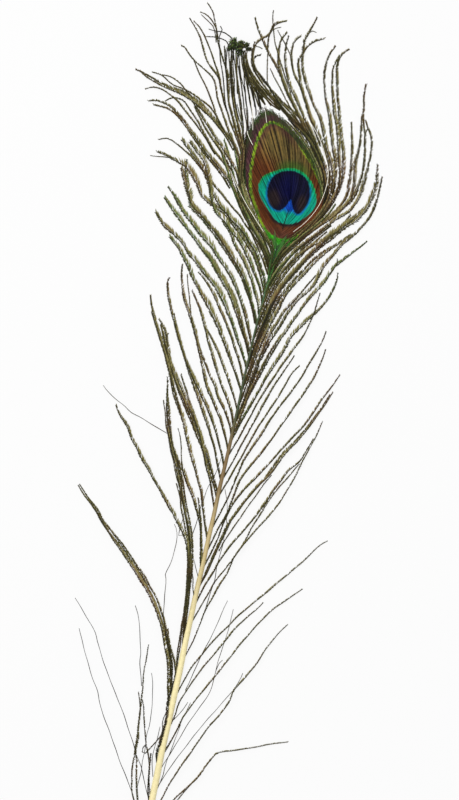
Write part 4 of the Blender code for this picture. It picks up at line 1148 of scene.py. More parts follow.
@dataclass(frozen=True)
class EyeFinish(Finish):
    """The eye's rings, drawn by how far a place lies inside each marking's line."""

    fringe: str = "#42292c"
    fringe_green: str = "#2c4218"
    stem_green: str = "#4a6a44"
    ring: str = "#335217"
    ring_gold: str = "#86a01a"
    ring_bright: str = "#2c8418"
    bronze: str = "#504424"
    bronze_dark: str = "#332a16"
    bronze_light: str = "#5c4a24"
    purple: str = "#452a24"
    leaf_gold: str = "#364a1a"
    copper: str = "#4e2810"
    leaf: str = "#067a40"
    cyan: str = "#038068"
    sea: str = "#045a86"
    blue: str = "#083c98"
    navy: str = "#06061c"
    indigo: str = "#07082e"
    umber: str = "#1c1416"
    faint_ring: Blob = Blob((0.5, 436.5), (10.5, 7.0))
    purple_side: Blob = Blob((-15.0, 436.0), (20.0, 26.0))
    gold_patch: Blob = Blob((1.5, 420.5), (11.0, 6.5))
    notch: Blob = Blob((3.4, 403.2), (4.2, 5.2))
    left_lobe: Blob = Blob((-5.0, 405.0), (5.0, 6.5))
    right_lobe: Blob = Blob((9.0, 405.5), (3.2, 6.0))
    pupil_heart: Blob = Blob((0.5, 412.5), (6.5, 9.5))

    def material(self) -> bpy.types.Material:
        """Build the eye's material, from the fringe inwards.

        Returns:
            The material.
        """
        material, graph, shader = self._start()
        ruffle = graph.centred(graph.mark("shade"))
        fuzz = graph.centred(graph.noise((900.0, 900.0, 200.0)))
        spot = EyeSpot(
            graph.plan_axis("X"), graph.plan_axis("Y"),
            graph.math("ADD", graph.mark("ring_mm"), graph.math("MULTIPLY_ADD", ruffle, 0.5, fuzz)),
            graph.math("MULTIPLY_ADD", ruffle, 0.4, graph.mark("disc_mm")),
            graph.math("MULTIPLY_ADD", ruffle, 0.4, graph.mark("pupil_mm")),
        )
        outside = graph.math("MULTIPLY_ADD", fuzz, 3.0, graph.mark("ring_mm"))
        low = graph.math("MULTIPLY_ADD", fuzz, 5.0, spot.y)
        tint = graph.mix(graph.step(outside, -2.8, -4.6), colour(self.fringe), colour(self.fringe_green))
        tint = graph.mix(graph.step(low, 388.0, 385.0), tint, colour(self.ring_bright))
        tint = graph.mix(graph.step(low, 384.5, 381.5), tint, colour(self.stem_green))
        tint = graph.mix(graph.step(spot.ring, 0.3, 1.6), tint, self._inside(graph, spot))
        tint = graph.mix(self._ring_share(graph, spot), tint, self._ring(graph, spot))
        tint = graph.mix(graph.step(spot.disc, -0.35, 0.25), tint, self._disc(graph, spot))
        tint = graph.mix(graph.step(spot.pupil, -0.3, 0.4), tint, self._pupil(graph, spot))
        self._coat(graph, shader, self._lined(graph, tint), (0.7, 1300.0), (0.35, 0.0002))
        return material

    def _blob(self, graph: Graph, spot: EyeSpot, blob: Blob) -> Socket:
        """Measure how far inside a soft oval a place lies.

        Args:
            graph: The material's graph.
            spot: The place.
            blob: The oval.

        Returns:
            1 in the middle of the oval, falling to 0 at its edge.
        """
        squares = []
        for value, middle, reach in zip((spot.x, spot.y), blob.centre, blob.reach):
            share = graph.math("DIVIDE", graph.math("SUBTRACT", value, middle), reach)
            squares.append(graph.math("MULTIPLY", share, share))
        return graph.step(graph.math("SQRT", graph.math("ADD", *squares)), 1.0, 0.35)

    def _ring_share(self, graph: Graph, spot: EyeSpot) -> Socket:
        """Find how much of the yellow-green ring shows.

        Args:
            graph: The material's graph.
            spot: The place.

        Returns:
            The ring's share, faint at the upper right.
        """
        band = graph.math("MULTIPLY", graph.step(spot.ring, -0.7, -0.1), graph.step(spot.ring, 1.35, 0.7))
        shown = graph.math("MULTIPLY_ADD", self._blob(graph, spot, self.faint_ring), -0.75, 1.0)
        return graph.math("MULTIPLY", graph.math("MULTIPLY", band, shown), 0.92)

    def _ring(self, graph: Graph, spot: EyeSpot) -> Socket:
        """Colour the ring.

        Args:
            graph: The material's graph.
            spot: The place.

        Returns:
            Green with yellow blotches, more of them on the right, and bright green at the foot.
        """
        blotch = graph.step(graph.noise((420.0, 420.0, 420.0)), 0.38, 0.62)
        right = graph.step(spot.x, -2.0, 10.0)
        yellow = graph.math("MULTIPLY_ADD", right, 0.5, graph.math("MULTIPLY", blotch, 0.6))
        tint = graph.mix(yellow, colour(self.ring), colour(self.ring_gold))
        return graph.mix(graph.step(spot.y, 392.0, 386.0), tint, colour(self.ring_bright))

    def _inside(self, graph: Graph, spot: EyeSpot) -> Socket:
        """Colour the broad field between ring and disc.

        Args:
            graph: The material's graph.
            spot: The place.

        Returns:
            Veined bronze, purple at the upper left, green over the disc, and copper beside and below it.
        """
        grain = graph.step(graph.noise((900.0, 260.0, 520.0)), 0.35, 0.6)
        broken = graph.math("MULTIPLY_ADD", grain, 0.5, 0.5)
        border = graph.step(spot.ring, 5.0, 1.6)
        border = graph.math("MULTIPLY", border, self._blob(graph, spot, self.purple_side))
        # the shade mark carries painted slit shade, so its dark barbs also pull the bronze to its dark colour
        # here
        shade = graph.math("MULTIPLY", graph.mark("shade"), 0.6)
        vein_and_slit_shade = graph.math("MULTIPLY_ADD", graph.mark("fleck"), 0.9, shade)
        tint = graph.mix(graph.step(vein_and_slit_shade, 0.75, 0.4), colour(self.bronze), colour(self.bronze_dark))
        tint = graph.mix(graph.step(vein_and_slit_shade, 0.8, 1.1), tint, colour(self.bronze_light))
        tint = graph.mix(graph.math("MULTIPLY", border, broken), tint, colour(self.purple))
        tilted = graph.math("MULTIPLY_ADD", graph.math("ABSOLUTE", spot.x), -0.45, spot.y)
        tint = graph.mix(graph.step(tilted, 425.0, 411.0), tint, colour(self.copper))
        tint = graph.mix(self._blob(graph, spot, self.gold_patch), tint, colour(self.leaf_gold))
        tint = graph.mix(graph.step(spot.y, 395.0, 385.0, 0.0, 0.7), tint, colour(self.purple))
        under = graph.math("MULTIPLY", graph.step(spot.disc, -2.2, -0.6), graph.step(spot.y, 400.0, 395.0))
        return graph.mix(under, tint, colour(self.umber))

    def _disc(self, graph: Graph, spot: EyeSpot) -> Socket:
        """Colour the disc.

        Args:
            graph: The material's graph.
            spot: The place.

        Returns:
            Turquoise, green at its upper rim, and blue about the pupil and in its notch.
        """
        rim = graph.math("MULTIPLY", graph.step(spot.disc, 1.5, 0.4), graph.step(spot.y, 405.0, 415.0))
        near = graph.math("MULTIPLY", graph.step(spot.pupil, -1.3, -0.2), graph.step(spot.y, 418.0, 412.0))
        tint = graph.mix(near, colour(self.cyan), colour(self.sea))
        tint = graph.mix(rim, tint, colour(self.leaf))
        return graph.mix(self._blob(graph, spot, self.notch), tint, colour(self.blue))

    def _pupil(self, graph: Graph, spot: EyeSpot) -> Socket:
        """Colour the pupil.

        Args:
            graph: The material's graph.
            spot: The place.

        Returns:
            Near black, umber in its lobes and indigo in the middle.
        """
        tint = colour(self.navy)
        for blob, code in ((self.left_lobe, self.umber), (self.right_lobe, self.umber),
                           (self.pupil_heart, self.indigo)):
            tint = graph.mix(self._blob(graph, spot, blob), tint, colour(code))
        return tint

    def _lined(self, graph: Graph, tint: Feed) -> Socket:
        """Paint shade into the grooves between barbs and a highlight onto their ridges, and vary each barb a
        little.

        Args:
            graph: The material's graph.
            tint: The eye's colour.

        Returns:
            The colour, with painted shade in the grooves and a painted highlight on the ridges.
        """
        fleck = graph.math("MULTIPLY_ADD", graph.mark("fleck"), 0.75, 0.2)
        shade = graph.math("MULTIPLY_ADD", graph.mark("shade"), 0.5, fleck)
        # painted shade: the colour falls to half in the grooves, and rises on the ridges as a painted
        # highlight
        groove = graph.step(graph.mark("ridge"), 0.0, 0.75, 0.5, 1.15)
        return graph.value(tint, graph.math("MULTIPLY", shade, groove))


@dataclass(frozen=True)
class BareFinish(Finish):
    """Barbs that have lost their barbules: pale horn."""

    pale: str = "#fffdf2"
    shade: str = "#efe9d4"

    def material(self) -> bpy.types.Material:
        """Build the bare barbs' material.

        Returns:
            The material.
        """
        material, graph, shader = self._start()
        tint = graph.mix(graph.noise((900.0, 900.0, 60.0)), colour(self.shade), colour(self.pale))
        self._coat(graph, shader, tint, (0.3, 900.0), (0.2, 0.0001))
        return material


@dataclass(frozen=True)
class FloorFinish(Finish):
    """The plain pale floor, which glows a little, as a light table does."""

    tint: str = "#4c4c4c"
    light: str = "#fdfdfd"
    glow: float = 0.87

    def material(self) -> bpy.types.Material:
        """Build the floor's material.

        Returns:
            The material.
        """
        material, graph, shader = self._start()
        graph.feed(shader.inputs["Base Color"], colour(self.tint))
        graph.feed(shader.inputs["Emission Color"], colour(self.light))
        graph.feed(shader.inputs["Emission Strength"], self.glow)
        return material


SHAFT_FINISH = ShaftFinish("shaft_horn", 0.38, 0.3)
BARB_FINISH = BarbFinish("barb_olive", 0.5, 0.15)
EYE_FINISH = EyeFinish("eye_rings", 0.45, 0.05)
FRINGE_FINISH = BarbFinish("fringe_plum", 0.5, 0.15, dark="#15100e", brown="#432c2a", olive="#2c4018",
                           pale="#5e5448", green="#2f6a22")
BARE_FINISH = BareFinish("bare_barb", 0.4, 0.3)
FLOOR_FINISH = FloorFinish("floor_pale", 0.9, 0.2)


@dataclass
class Shaft:
    """The quill and shaft: a tapering tube with a groove beneath.

    Attributes:
        sides: Points round the tube.
        spacing: Distance between rings, in mm.
        tip: Plan y of the first few rings, close together where the tip closes, in mm.
        groove: Depth of the groove beneath, as a share of the radius.
        groove_from: Plan y where the groove starts, in mm.
        groove_run: Length over which it deepens, in mm.
    """

    sides: int = 20
    spacing: float = 3.0
    tip: tuple[float, ...] = (0.0, 0.4, 1.0, 2.0)
    groove: float = 0.3
    groove_from: float = 60.0
    groove_run: float = 60.0

    def build(self) -> Piece:
        """Extrude the quill's ring along the shaft.

        Returns:
            The linked piece.
        """
        rows = self._rows()
        bm = bmesh.new()
        ring = bmesh.ops.create_circle(bm, cap_ends=True, segments=self.sides, radius=1.0)["verts"]
        self._shape(ring, *rows[0])
        edges = list(bm.edges)
        for row in rows[1:]:
            out = bmesh.ops.extrude_edge_only(bm, edges=edges)["geom"]
            ring = [item for item in out if isinstance(item, bmesh.types.BMVert)]
            edges = [item for item in out if isinstance(item, bmesh.types.BMEdge)]
            self._shape(ring, *row)
        bmesh.ops.contextual_create(bm, geom=edges)
        bmesh.ops.recalc_face_normals(bm, faces=bm.faces)
        obj = released("shaft", bm)
        obj.data.shade_smooth()
        return obj

    def dress(self, obj: Piece, material: bpy.types.Material) -> None:
        """Give the shaft its finish and its place in the frame.

        Args:
            obj: The built shaft.
            material: Its finish.
        """
        obj.data.materials.append(material)
        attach(obj, BODY)
        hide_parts("feather")

    def _rows(self) -> list[tuple[float, float, float]]:
        """Place the rings.

        Returns:
            Plan y, x and width of every ring, in mm, from the tip up.
        """
        ys = np.array([*self.tip, *np.arange(3.0, SHAFT[-1][0] + 0.1, self.spacing)])
        xs, widths = shaft_at(ys)
        wander = 0.08 * np.sin(ys / 11.0) + 0.05 * np.sin(ys / 4.3 + 1.0)
        return list(zip(ys, xs + wander, widths))

    def _shape(self, ring: Iterable[bmesh.types.BMVert], y: float, x: float, width: float) -> None:
        """Lay a ring of vertices round the shaft's axis, resting on the surface.

        Args:
            ring: The vertices, in turn from the underside.
            y: Plan y of the ring, in mm.
            x: Plan x of its middle, in mm.
            width: Its width, in mm.
        """
        radius = width / 2
        depth = self.groove * min(1.0, max(0.0, (y - self.groove_from) / self.groove_run))
        for number, vert in enumerate(ring):
            angle = 2 * math.pi * number / self.sides
            reach = radius * (1 - depth * max(0.0, math.cos(angle)) ** 6)
            across = x + reach * math.sin(angle) - PLAN_CENTRE[0]
            vert.co = (across * MM, (y - PLAN_CENTRE[1]) * MM, (radius - reach * math.cos(angle)) * MM)


@dataclass(frozen=True)
class Barbules:
    """The barbules along a barb: long on the side towards the feather's tip, short on the other.

    Attributes:
        spacing: Distance between barbules on one side, in mm.
        width: A barbule's greatest width, in mm.
        inner: Reach of the short ones, as a share of the long ones.
        beat: Length of a dark and a pale tuft of them together, in mm.
        offset: Distance of their roots from the barb's middle line, sideways and down, in mm.
        lean: Least and most angle from the barb, in degrees.
        lengths: Least and most length, as a share of the usual one.
        widths: Least and most width, as a share of the greatest.
        rise: Least and most rise of a tip above its root, in mm.
        lowest: Least height of a tip above the surface, in mm.
        speckle: How much darker or paler than its neighbours one can be.
    """

    spacing: float = 0.2
    width: float = 0.42
    inner: float = 0.3
    beat: float = 1.5
    offset: float = 0.15
    lean: Pair = (28.0, 40.0)
    lengths: Pair = (0.65, 1.15)
    widths: Pair = (0.7, 1.2)
    rise: Pair = (-0.1, 0.15)
    lowest: float = 0.2
    speckle: float = 0.14

    def grow(self, hair: Hair, line: Array, reach: Array, darkness: Array, green: Array, rng: Rng) -> None:
        """Set barbules along both sides of a barb, with painted shade on the short side.

        Args:
            hair: The mesh that they join.
            line: Rows of x, y and z along the barb, in metres.
            reach: How far they reach to the side at each row, in mm.
            darkness: How dark they are on the whole at each row.
            green: Their share of green at each row.
            rng: The source of their irregularities.
        """
        total = np.linalg.norm(np.diff(line, axis=0), axis=1).sum() / MM
        ahead, left = directions(line)
        for way in (-1.0, 1.0):
            at = np.sort(rng.uniform(0.0, len(line) - 1, max(4, int(total / self.spacing))))
            run = at / (len(line) - 1) * total
            pulse = 2 * math.pi * run / self.beat + 1.6 * wave(run, 3.1, rng)
            beat = 0.5 + 0.5 * np.sin(pulse)
            outer = np.clip(0.5 + 1.6 * way * left[at.astype(int), 1], 0, 1)
            keep = rng.random(len(at)) < (0.45 + 0.55 * outer) * (0.9 + 0.1 * beat)
            at, beat, outer = at[keep], beat[keep], outer[keep]
            low = np.minimum(at.astype(int), len(line) - 2)
            part = (at - low)[:, None]
            roots = line[low] * (1 - part) + line[low + 1] * part + left[low] * way * self.offset * MM
            roots[:, 2] -= self.offset * MM
            angle = np.radians(rng.uniform(*self.lean, len(at)))
            heading = ahead[low] * np.cos(angle)[:, None] + left[low] * (way * np.sin(angle))[:, None]
            out = reach[low] * (self.inner + (1 - self.inner) * outer) * rng.uniform(*self.lengths, len(at))
            tips = roots + heading * (out / np.sin(angle) * MM)[:, None]
            tips[:, 2] += rng.uniform(*self.rise, len(at)) * MM
            tips[:, 2] = np.maximum(tips[:, 2], self.lowest * MM)
            # painted shade: the short barbules, on the side away from the feather's tip, are made up to 0.4
            # darker
            tone = darkness[low] * 0.8 + 0.12 * (beat - 0.5) + 0.4 * (1 - outer)
            tone += rng.uniform(-self.speckle, self.speckle, len(at))
            width = self.width * rng.uniform(*self.widths, len(at)) * MM
            hair.blades(roots, tips, width, np.clip(tone, 0, 1), green[low] * rng.uniform(0.4, 1.0, len(at)))


class BarbPiece:
    """What every piece made of barbs shares."""

    def dress(self, obj: Piece, material: bpy.types.Material) -> None:
        """Give the piece its finish and its place in the frame.

        Args:
            obj: The built piece.
            material: Its finish.
        """
        obj.data.materials.append(material)
        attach(obj, BODY)


@dataclass
class LooseBarbs(BarbPiece):
    """A region's loose barbs, each a fine strand fringed with barbules.

    Attributes:
        name: The region's name.
        members: Its strands.
        step: Spacing of points along a barb, in mm.
        thickness: Half a barb's thickness at its root, in mm.
        arch: Least arch of a barb between its ends, and how much more the highest has, in mm.
        lowest: Least height of a barb's middle line above the surface, in mm.
        slender: Length over which barbules grow to their full reach from the root, in mm.
        barbules: Their barbules.
    """

    name: str
    members: list[Strand]
    step: float = 2.2
    thickness: float = 0.25
    arch: Pair = (0.5, 2.4)
    lowest: float = 0.32
    slender: float = 38.0
    barbules: Barbules = Barbules()

    def build(self, rng: Rng) -> Piece:
        """Grow every strand of the region.

        Args:
            rng: The source of the small irregularities.

        Returns:
            The linked piece.
        """
        golden = 0.618
        hair = Hair(self.name)
        for number, strand in enumerate(self.members):
            lift = self.arch[0] + self.arch[1] * ((number * golden) % 1.0)
            for place in self._places(strand):
                self._grow(hair, strand, place, lift, rng)
        return hair.piece()

    def _places(self, strand: Strand) -> list[float]:
        """Return how far each of the strand's barbs lies from its centre line, in mm."""
        make = strand.weight.value
        return [make.spread * (i - (make.barbs - 1) / 2) for i in range(make.barbs)]

    def _grow(self, hair: Hair, strand: Strand, place: float, lift: float, rng: Rng) -> None:
        """Add one barb with its barbules.

        Args:
            hair: The mesh that it joins.
            strand: The strand that it belongs to.
            place: How far it lies from the strand's centre line, in mm.
            lift: How high it arches between its ends, in mm.
            rng: The source of its irregularities.
        """
        line = smooth_line(strand.points(), self.step)
        _, left = directions(line)
        share = np.linspace(0, 1, len(line))
        run = share * len(line) * self.step
        wander = place * (0.55 + 0.45 * wave(run, 17.0, rng, place * 3))
        wander += 0.12 * wave(run, 5.0, rng) + 0.06 * wave(run, 1.9, rng)
        if place and rng.random() < 0.8:
            keep = int(len(line) * rng.uniform(0.72, 0.97))
            line, left, share, run, wander = line[:keep], left[:keep], share[:keep], run[:keep], wander[:keep]
        line = line + left * (wander * np.clip(share * 9, 0, 1))[:, None]
        height = self._height(strand, share, lift) + 0.12 * wave(run, 7.0, rng)
        places = plan(line, np.maximum(height, self.lowest))
        breadth = strand.weight.value.breadth * (1.0 - 0.3 * share) * (1.0 + 0.15 * wave(run, 2.3, rng))
        radius = self.thickness * (1.0 - 0.5 * share)
        green, darkness = strand.tone.value
        flush = green * (0.6 + 0.4 * wave(run, 23.0, rng))
        hair.tube(places, breadth * MM, radius * MM, 0.62 + 0.35 * darkness, flush * 0.5)
        if strand.weight is not WIRE:
            reach = self._reach(strand, run, rng)
            self.barbules.grow(hair, places, reach, darkness + 0.4 * (1 - reach / reach.max()), flush, rng)

    def _reach(self, strand: Strand, run: Array, rng: Rng) -> Array:
        """Find how far the barbules reach to the side.

        Args:
            strand: The strand that the barb belongs to.
            run: Distance of each point from the barb's root, in mm.
            rng: The source of the unevenness.

        Returns:
            The reach in mm, shorter near the tip and the root, and uneven along the barb.
        """
        make = strand.weight.value
        to_tip = run[-1] - run
        slim = 0.3 + 0.7 * np.clip(to_tip / (make.taper * rng.uniform(0.8, 1.2)), 0, 1) ** 0.85
        slim *= 0.5 + 0.5 * np.clip(run / self.slender, 0, 1)
        uneven = 1.0 + 0.16 * wave(run, 9.0, rng) + 0.1 * wave(run, 3.7, rng)
        return make.reach * slim * uneven

    def _height(self, strand: Strand, share: Array, lift: float) -> Array:
        """Find the barb's height, arched between its root and its tip.

        Args:
            strand: The strand that the barb belongs to.
            share: Each point's share of the way from the root to the tip.
            lift: How high the barb arches, in mm.

        Returns:
            The height in mm at each point.
        """
        _, width = shaft_at(strand.points()[0][1])
        root = max(0.5, width / 2)
        return root + (0.4 - root) * share + lift * np.sin(math.pi * share)


@dataclass
class EyeVane:
    """The closed vane of the eye: barbs lying side by side, fanning from the shaft's end.

    Attributes:
        barbs: How many barbs it has.
        left_share: Share of them on the left of the shaft.
        rows: Steps along a barb.
        root_height: Height where the barbs leave the shaft, in mm.
        rim_height: Height of the outer rim, in mm.
        crown: How far the middle stands above a straight slope, in mm.
        profile: Depth across a barb from one groove towards the next, as shares.
        ridge: Depth of the groove between barbs, in mm.
        thickness: Thickness of the vane, in mm.
        left_bulge: How far the outermost left barb bows outward, in mm.
        right_bulge: The same on the right.
        ragged: How far a barb may run past the rim, and a groove stop short of it, as shares of the barb.
        fleck_rows: Steps that a fleck of colour runs along a barb.
    """

    barbs: int = 104
    left_share: float = 0.42
    rows: int = 80
    root_height: float = 1.0
    rim_height: float = 0.75
    crown: float = 0.55
    profile: tuple[float, ...] = (1.0, 0.25, 0.0, 0.25)
    ridge: float = 0.14
    thickness: float = 0.45
    left_bulge: float = 4.0
    right_bulge: float = 11.0
    ragged: Pair = (0.045, 0.014)
    fleck_rows: int = 25

    def build(self, rng: Rng) -> Piece:
        """Lay a grid over the fan of barbs and give it thickness.

        Args:
            rng: The source of each barb's own course and shade.

        Returns:
            The linked piece.
        """
        cells = len(self.profile)
        across = cells * self.barbs
        bm = bmesh.new()
        bmesh.ops.create_grid(bm, x_segments=across, y_segments=self.rows, size=0.5)
        grid = np.array([vert.co for vert in bm.verts])
        column = np.rint((grid[:, 0] + 0.5) * across).astype(int)
        t = np.clip(grid[:, 1] + 0.5, 0, 1)
        course = rng.uniform(-1.3, 1.3, self.barbs + 1)
        course[[0, -1]] = 0.0
        v = self.side((column + np.interp(column / cells, np.arange(self.barbs + 1), course)) / across)
        barb = (column + cells // 2) // cells
        groove = np.array(self.profile)[column % cells] * rng.uniform(0.25, 1.0, self.barbs + 1)[barb]
        longer = rng.uniform(0.0, self.ragged[0], across + cells)[column // cells * cells]
        teeth = np.where(column % cells > 0, longer, -self.ragged[1])
        flat = self.place(v, t * (1 + teeth * t ** 8))
        height = self._height(t) - self.ridge * groove * np.clip(t * 6, 0, 1)
        for vert, place in zip(bm.verts, plan(flat, height)):
            vert.co = place
        marks = {
            # ridge: drives the painted groove shade and the painted ridge highlight in the eye's material
            "ridge": 1.0 - groove,
            # shade: each barb's random tone, with painted slit shade on every few
            "shade": self._shades(rng)[barb],
            "fleck": self._flecks(rng)[barb, np.rint(t * self.rows).astype(int)],
            "ring_mm": inside_distance(flat, RING_LINE, 1.5),
            "disc_mm": inside_distance(flat, DISC_LINE, 1.5),
            "pupil_mm": inside_distance(flat, PUPIL_LINE, 1.0),
        }
        for key, values in marks.items():
            layer = bm.verts.layers.float.new(key)
            for vert, value in zip(bm.verts, values):
                vert[layer] = float(value)
        bmesh.ops.recalc_face_normals(bm, faces=bm.faces)
        if sum(face.normal.z for face in bm.faces) < 0:
            bmesh.ops.reverse_faces(bm, faces=bm.faces)
        obj = released("eye_vane", bm)
        wall = obj.modifiers.new("thickness", "SOLIDIFY")
        wall.thickness = self.thickness * MM
        wall.offset = -1.0
        return obj

    def dress(self, obj: Piece, material: bpy.types.Material) -> None:
        """Give the eye its rings and its place in the frame.

        Args:
            obj: The built vane.
            material: Its finish.
        """
        obj.data.materials.append(material)
        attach(obj, BODY)

    def side(self, share: Array) -> Array:
        """Turn shares of the way from left to right into -1 to 0 on the left and 0 to 1 on the right."""
        return np.where(share < self.left_share, share / self.left_share - 1,
                        (share - self.left_share) / (1 - self.left_share))

    def place(self, v: Array, t: Array) -> Array:
        """Find plan places on the fan.

        Args:
            v: Which barb, from -1 at the left side to 1 at the right side.
            t: How far along it, from 0 at the shaft to 1 at the rim; more runs past the rim.

        Returns:
            Rows of plan x and y, in mm.
        """
        side = np.abs(v)
        top = SHAFT[-1][0]
        root_y = top - (top - EYE_FOOT) * side ** 1.3
        root_x, _ = shaft_at(root_y)
        root = np.column_stack((root_x, root_y))
        left_end, right_end = (self._edge(edge, 1 - side) for edge in (EYE_LEFT_EDGE, EYE_RIGHT_EDGE))
        end = np.where((v < 0)[:, None], left_end, right_end)
        chord = end - root
        length = np.linalg.norm(chord, axis=1)[:, None]
        outward = np.column_stack((-chord[:, 1], chord[:, 0])) / length
        bulge = np.where(v < 0, self.left_bulge * side ** 2, -self.right_bulge * side ** 0.7)
        bend = (root + end) / 2 + outward * bulge[:, None]
        t = t[:, None]
        return (1 - t) ** 2 * root + 2 * t * (1 - t) * bend + t ** 2 * end

    def _shades(self, rng: Rng) -> Array:
        """Give each barb a tone, with painted shade for the slits between locks of barbs.

        Args:
            rng: The source of the shades.

        Returns:
            The shades, from 0 to 1: a random tone, and a near-black one after every few as painted shade in
                the slits between locks.
        """
        shades = rng.uniform(0.4, 1.0, self.barbs + 2)
        at = 0
        while at < len(shades):
            # painted shade: a near-black barb every few stands for the shaded slit between locks
            shades[at] = rng.uniform(0.0, 0.15)
            at += int(rng.integers(2, 4))
        return shades

    def _flecks(self, rng: Rng) -> Array:
        """Give each barb long flecks of dark and light.

        Args:
            rng: The source of the flecks.

        Returns:
            A row for each barb, with a value from 0 to 1 at each step along it.
        """
        flecks = rng.uniform(-2.0, 3.0, (self.barbs + 2, self.rows + self.fleck_rows))
        mean = np.full(self.fleck_rows, 1 / self.fleck_rows)
        return np.apply_along_axis(np.convolve, 1, flecks, mean, "valid").clip(0.0, 1.0)

    def _edge(self, points: Outline, share: Array) -> Array:
        """Find places along one edge of the eye.

        Args:
            points: The edge's points.
            share: How far along it, from 0 to 1.

        Returns:
            Rows of plan x and y, in mm.
        """
        line = smooth_line(np.array(points), 0.5)
        index = np.arange(len(line))
        return np.column_stack([np.interp(share * (len(line) - 1), index, line[:, i]) for i in (0, 1)])

    def _height(self, t: Array) -> Array:
        """Return the vane's height in mm at steps along its barbs."""
        slope = self.root_height + (self.rim_height - self.root_height) * t
        return slope + self.crown * np.sin(math.pi * t)


@dataclass
class EyeFringe(BarbPiece):
    """The barbs' tips past the eye's rim, the green fuzz at its foot, and its dark middle line.

    Attributes:
        vane: The vane they grow from.
        shortest: Where the shortest tip ends, as a share of its barb.
        longest: Where the longest ends.
        inset: Where the tips start, as a share of their barb.
        steps: Points along a tip.
        foot: Plan y where the fuzz starts and ends, in mm.
        line: Plan y where the middle line starts and ends, in mm.
        barbules: The tips' barbules.
        fuzz: The barbules at the foot.
    """

    vane: EyeVane
    shortest: float = 1.01
    longest: float = 1.06
    inset: float = 0.9
    steps: int = 7
    foot: Pair = (362.0, 382.0)
    line: Pair = (391.0, 404.5)
    barbules: Barbules = Barbules(inner=1.0, lean=(16.0, 30.0))
    fuzz: Barbules = Barbules(spacing=0.12, width=0.36, inner=1.0, lean=(22.0, 60.0))

    def build(self, rng: Rng) -> Piece:
        """Grow the tips round the rim, the fuzz at the foot and the middle line.

        Args:
            rng: The source of their irregularities.

        Returns:
            The linked piece.
        """
        hair = Hair("eye_fringe")
        for v in self.vane.side(np.linspace(0, 1, self.vane.barbs + 1)):
            self._tip(hair, v, rng)
        self._foot(hair, rng)
        self._line(hair)
        return hair.piece()

    def _tip(self, hair: Hair, v: float, rng: Rng) -> None:
        """Add one barb's tip.

        Args:
            hair: The mesh that it joins.
            v: Which barb of the vane, from -1 to 1.
            rng: The source of its irregularities.
        """
        last = rng.uniform(self.shortest, self.longest)
        t = np.linspace(self.inset, last, self.steps)
        flat = self.vane.place(np.full(self.steps, v + rng.uniform(-0.004, 0.004)), t)
        places = plan(flat, self.vane.rim_height + 0.25 - 1.2 * (t - self.inset))
        slim = 1.1 - np.linspace(0.15, 1, self.steps)
        green = np.full(self.steps, 0.35 * rng.random())
        reach = 0.62 * slim
        hair.tube(places, reach * 0.35 * MM, 0.15 * slim * MM, 0.7, green)
        self.barbules.grow(hair, places, reach, np.full(self.steps, 0.55), green, rng)

    def _foot(self, hair: Hair, rng: Rng) -> None:
        """Add green barbules along the shaft below the eye.

        Args:
            hair: The mesh that they join.
            rng: The source of their irregularities.
        """
        count = 24
        share = np.linspace(0.15, 1, count)
        places = up_shaft(self.foot, 1.0 + 0.9 * share)
        for _ in range(3):
            self.fuzz.grow(hair, places, 3.4 * share ** 1.3, np.full(count, 0.35), np.full(count, 1.6), rng)

    def _line(self, hair: Hair) -> None:
        """Add the shaft's thin dark end, which shows up the middle of the disc.

        Args:
            hair: The mesh that it joins.
        """
        count = 20
        places = up_shaft(self.line, np.full(count, self.vane.root_height + 0.1))
        radius = np.linspace(0.24, 0.12, count) * MM
        hair.tube(places, radius, radius, 0.9, np.full(count, 0.4))


@dataclass
class Tuft(BarbPiece):
    """The matted dark green tuft of curled barb ends in the plume.

    Attributes:
        centres: Plan x, y and reach of each knot, in mm.
        curls: Curls in a knot for each mm of its reach.
        steps: Points along a curl.
        height: Height of the tuft's middle, in mm.
        barbules: The curls' barbules.
    """

    centres: tuple[tuple[float, float, float], ...] = (
        (-41.6, 475.6, 2.3), (-39.2, 475.0, 2.3), (-36.8, 475.4, 2.0), (-41.0, 477.2, 1.2),
        (-38.0, 476.8, 1.4), (-35.0, 476.6, 1.2), (-42.6, 473.6, 1.5), (-37.6, 472.8, 1.8),
        (-33.2, 475.0, 1.1),
    )
    curls: int = 9
    steps: int = 9
    height: float = 2.2
    barbules: Barbules = Barbules(inner=1.0, width=0.34)

    def build(self, rng: Rng) -> Piece:
        """Curl short barbs about each knot's centre.

        Args:
            rng: The source of the curls' places.

        Returns:
            The linked piece.
        """
        hair = Hair("tuft")
        for x, y, reach in self.centres:
            for _ in range(round(self.curls * reach)):
                self._curl(hair, x, y, reach, rng)
        return hair.piece()

    def _curl(self, hair: Hair, x: float, y: float, reach: float, rng: Rng) -> None:
        """Add one curled barb end.

        Args:
            hair: The mesh that it joins.
            x: Plan x of its knot, in mm.
            y: Plan y of its knot, in mm.
            reach: The knot's reach, in mm.
            rng: The source of its place and turn.
        """
        turn = np.linspace(0, rng.uniform(1.6, 3.8), self.steps) + rng.random() * 6.3
        bow = reach * rng.uniform(0.2, 0.55)
        heart = np.array((x, y)) + rng.normal(0, reach * 0.32, 2)
        flat = heart + bow * np.column_stack((np.cos(turn), rng.uniform(0.5, 1.0) * np.sin(turn)))
        places = plan(flat, self.height + rng.uniform(-0.9, 0.9) + 0.3 * np.sin(turn))
        slim = 1.0 - 0.5 * np.linspace(0, 1, self.steps)
        hair.tube(places, 0.24 * slim * MM, 0.16 * slim * MM, 0.8, np.full(self.steps, 0.9))
        self.barbules.grow(hair, places, 0.8 * slim, np.full(self.steps, 0.75), np.ones(self.steps), rng)


